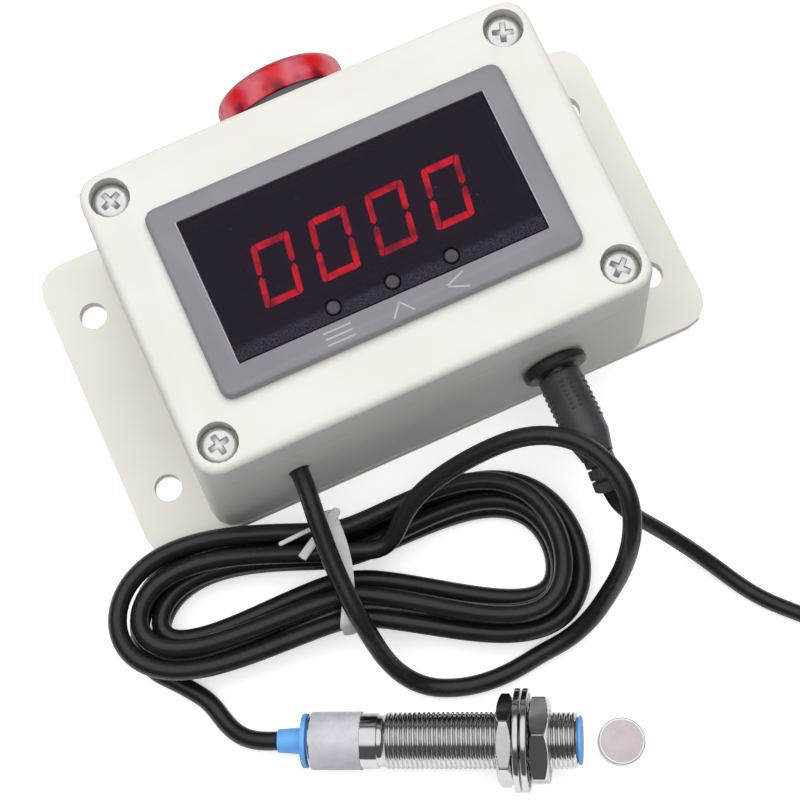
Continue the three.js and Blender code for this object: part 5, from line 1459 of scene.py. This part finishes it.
@dataclass(frozen=True)
class ProximitySensor:
    """The threaded sensor with its two nuts and two washers."""

    tail: Vector3 = (-53.1, -83.5, 5.9)
    yaw: float = -24.9
    tilt: float = 6.2
    thread_start: float = 17.8
    thread_end: float = 57.5
    thread_radius: float = 5.9
    pitch: float = 1.0
    thread_depth: float = 0.42
    nut_flat: float = 8.5
    nut_bore: float = 6.2
    nut_chamfer: float = 0.5
    teeth: int = 20
    tooth_radius: float = 9.6
    tooth_depth: float = 0.45
    sleeve: Profile = ((4.9, 1.7), (5.45, 1.7), (5.75, 2), (5.75, 16.3), (5.3, 16.3), (5.3, 17.2), (5.4, 17.7))
    bore: Profile = ((4.9, 57.5), (4.9, 37.5), (4.9, 11.7))
    tail_cap: Profile = ((2, -5), (2.45, -5), (2.8, 0.3), (5.7, 0.3), (5.7, 1.4), (4.6, 1.4), (4.6, 4.4), (2, 4.4))
    face_cap: Profile = ((0.02, 54.5), (4.6, 54.5), (4.6, 57.8), (5.1, 57.8), (5.1, 58.3), (4.8, 58.55), (0.02, 58.55))
    label: Profile = ((5.8, 2.3), (6.05, 2.3), (6.05, 12.8), (5.8, 12.8))
    washer: Profile = ((6.2, 0), (10.7, 0), (10.7, 1.3), (9.4, 1.3), (6.2, 1.3))
    # Each nut's body, its rear face along the sensor, its thickness, and the angle of one flat in degrees
    nuts: tuple[tuple[Body, float, float, float], ...] = (
        (Body.REAR_NUT, 41.2, 3.2, 194.0), (Body.FRONT_NUT, 47.9, 4.0, 210.0),
    )
    # Each washer's body, its rear face along the sensor, and whether it has teeth
    washers: tuple[tuple[Body, float, bool], ...] = ((Body.REAR_WASHER, 44.7, False), (Body.FRONT_WASHER, 46.3, True))

    @property
    def seat(self) -> Seat:
        """Works out the sensor's place.

        Returns:
            The seat, whose own z runs to the sensing face and whose x points down.
        """
        yaw, tilt = math.radians(self.yaw), math.radians(self.tilt)
        along = (math.cos(yaw) * math.cos(tilt), math.sin(yaw) * math.cos(tilt), math.sin(tilt))
        return Seat(self.tail, along, (0.0, 0.0, -1.0))

    def build(self) -> None:
        """Makes the sensor's pieces."""
        dress(CIRCUIT_GREEN, "sensor_board")
        self.make_barrel()
        lathe = Lathe(self.seat)
        lathe.turn("sensor_tail_cap_turned", "sensor_tail_cap", SENSOR_BLUE, self.tail_cap, 0.25, joined=True)
        lathe.turn("sensor_face_cap_turned", "sensor_face_cap", SENSOR_BLUE, self.face_cap, 0.15)
        lathe.turn("sensor_label_film", "sensor_label", LABEL_SILVER, self.label, 0.05, 3, True)
        for nut in self.nuts:
            self.make_nut(*nut)
        for washer in self.washers:
            self.make_washer(*washer)

    def make_barrel(self) -> None:
        """Makes the barrel.

        The sleeve and groove are turned. Over the thread, the radius falls from the crest by the thread's depth
        times a rounded groove of the height in pitches less the angle in turns, which makes one right-handed
        helix, and the depth fades out over the first and last pitch.
        """
        first, end = self.thread_start, self.thread_end
        height, angle = np.arange(first, end, 0.085)[:, None], circle(72)
        wave = np.abs((height / self.pitch - angle / TURN) % 1.0 - 0.5) * 2
        tooth = smoothstep(wave, 0.4, 1.0) + 0.08 * np.minimum(wave / 0.4, 1) ** 2
        fade = smoothstep(height, first, first + 1.0) * (1 - smoothstep(height, end - 0.9, end - 0.2))
        ends = 0.35 * smoothstep(height, end - 0.6, end) + 0.3 * (1 - smoothstep(height, first, first + 0.5))
        thread = polar(self.thread_radius - self.thread_depth * tooth * fade - ends, angle, height)
        rings = np.concatenate([turned(softened(self.sleeve, 0.12), 72), thread, turned(self.bore, 72)])
        mesh = ring_mesh("sensor_barrel_threaded", self.seat.place(rings), True)
        stand(mesh, POLISHED_CHROME, "sensor_barrel", sharp=60.0)

    def make_nut(self, body: Body, start: float, thickness: float, facing: float) -> None:
        """Makes a chamfered hex nut.

        The outline's radius is the flat's distance over a power mean of the cosines to the six flats, which rounds
        the corners a little, and a cone from each face cuts the corners back.

        Args:
            body: the body that it rides on, which names its node too.
            start: where its rear face lies along the sensor.
            thickness: its thickness.
            facing: the angle of one flat, in degrees.
        """
        angle = circle(216)
        flats = np.radians(facing + np.arange(6) * 60)[:, None]
        hexagon = self.nut_flat / (np.clip(np.cos(angle - flats), 0, None) ** 90).sum(0) ** (1 / 90)
        height = np.concatenate([np.linspace(0, 0.9, 10), np.linspace(thickness - 0.9, thickness, 10)])[:, None]
        depth = np.minimum(height, thickness - height)
        outer = np.minimum(hexagon[None], self.nut_flat - 0.12 + depth * 1.75 + 0.05 * np.sqrt(depth))
        bore, bevel = self.nut_bore, self.nut_chamfer
        inner = [(bore + bevel, thickness), (bore, thickness - bevel), (bore, bevel), (bore + bevel, 0.0)]
        rings = np.concatenate([polar(outer, angle, height), turned(inner, len(angle))]) + [0, 0, start]
        mesh = ring_mesh(f"{body}_hex", self.seat.place(rings), True)
        stand(mesh, POLISHED_CHROME, body.value, body, 24.0)

    def make_washer(self, body: Body, start: float, toothed: bool) -> None:
        """Makes a washer: a flat ring with eased edges, whose teeth, if it has them, are a sawtooth of the angle.

        Args:
            body: the body that it rides on, which names its node too.
            start: where its rear face lies along the sensor.
            toothed: True for the locking washer.
        """
        rings = turned(softened(self.washer, 0.3, 5, True), 240)
        if toothed:
            saw = (circle(240) / TURN * self.teeth) % 1.0
            inside = np.linalg.norm(rings[..., :2], axis=-1) < self.tooth_radius
            upper = rings[..., 2] > self.washer[-1][1] / 2
            rings[..., 2] -= inside * upper * self.tooth_depth * (saw > 0.5)
        mesh = ring_mesh(f"{body}_ring", self.seat.place(rings + [0, 0, start]), True)
        stand(mesh, POLISHED_CHROME, body.value, body, 30.0)


@dataclass(frozen=True)
class TargetMagnet:
    """The disc magnet that the sensor reads."""

    centre: Vector3 = (8.0, -110.9, 0.0)
    radius: float = 5.0
    thickness: float = 2.6
    rim: float = 0.5

    def build(self) -> None:
        """Turns the disc, and the polished rim round it with a faint chamfer at each face; the rim's paler colour is a
        painted highlight.
        """
        r, c, t = self.radius, self.rim, self.thickness
        lathe = Lathe(Seat(self.centre), 128)
        disc = [(0.02, 0.02), (r - c, 0.02), (r - c, t - 0.02), (0.02, t - 0.02)]
        lathe.turn("target_magnet_turned", "target_magnet", MAGNET_NICKEL, disc, 0.02)
        half = [(r - c - 0.1, 0), (r - c, 0), (r - 0.15, 0.05), (r, 0.25)]
        ring = half + [(x, t - z) for x, z in half[::-1]]
        lathe.turn("target_magnet_rim", "", NICKEL_POLISHED_HIGHLIGHT, ring, 0.1, joined=True)


def main() -> None:
    """Builds the scene in order: camera and cords first, then the box and what it carries."""
    logging.basicConfig(level=logging.INFO, format="%(name)s: %(message)s")
    for assembly in (
        Studio, PowerLead, SensorCord, Enclosure, PanelMeter, Beacon, PowerSocket, ProximitySensor, TargetMagnet,
    ):
        assembly().build()


if __name__ == "__main__":
    main()
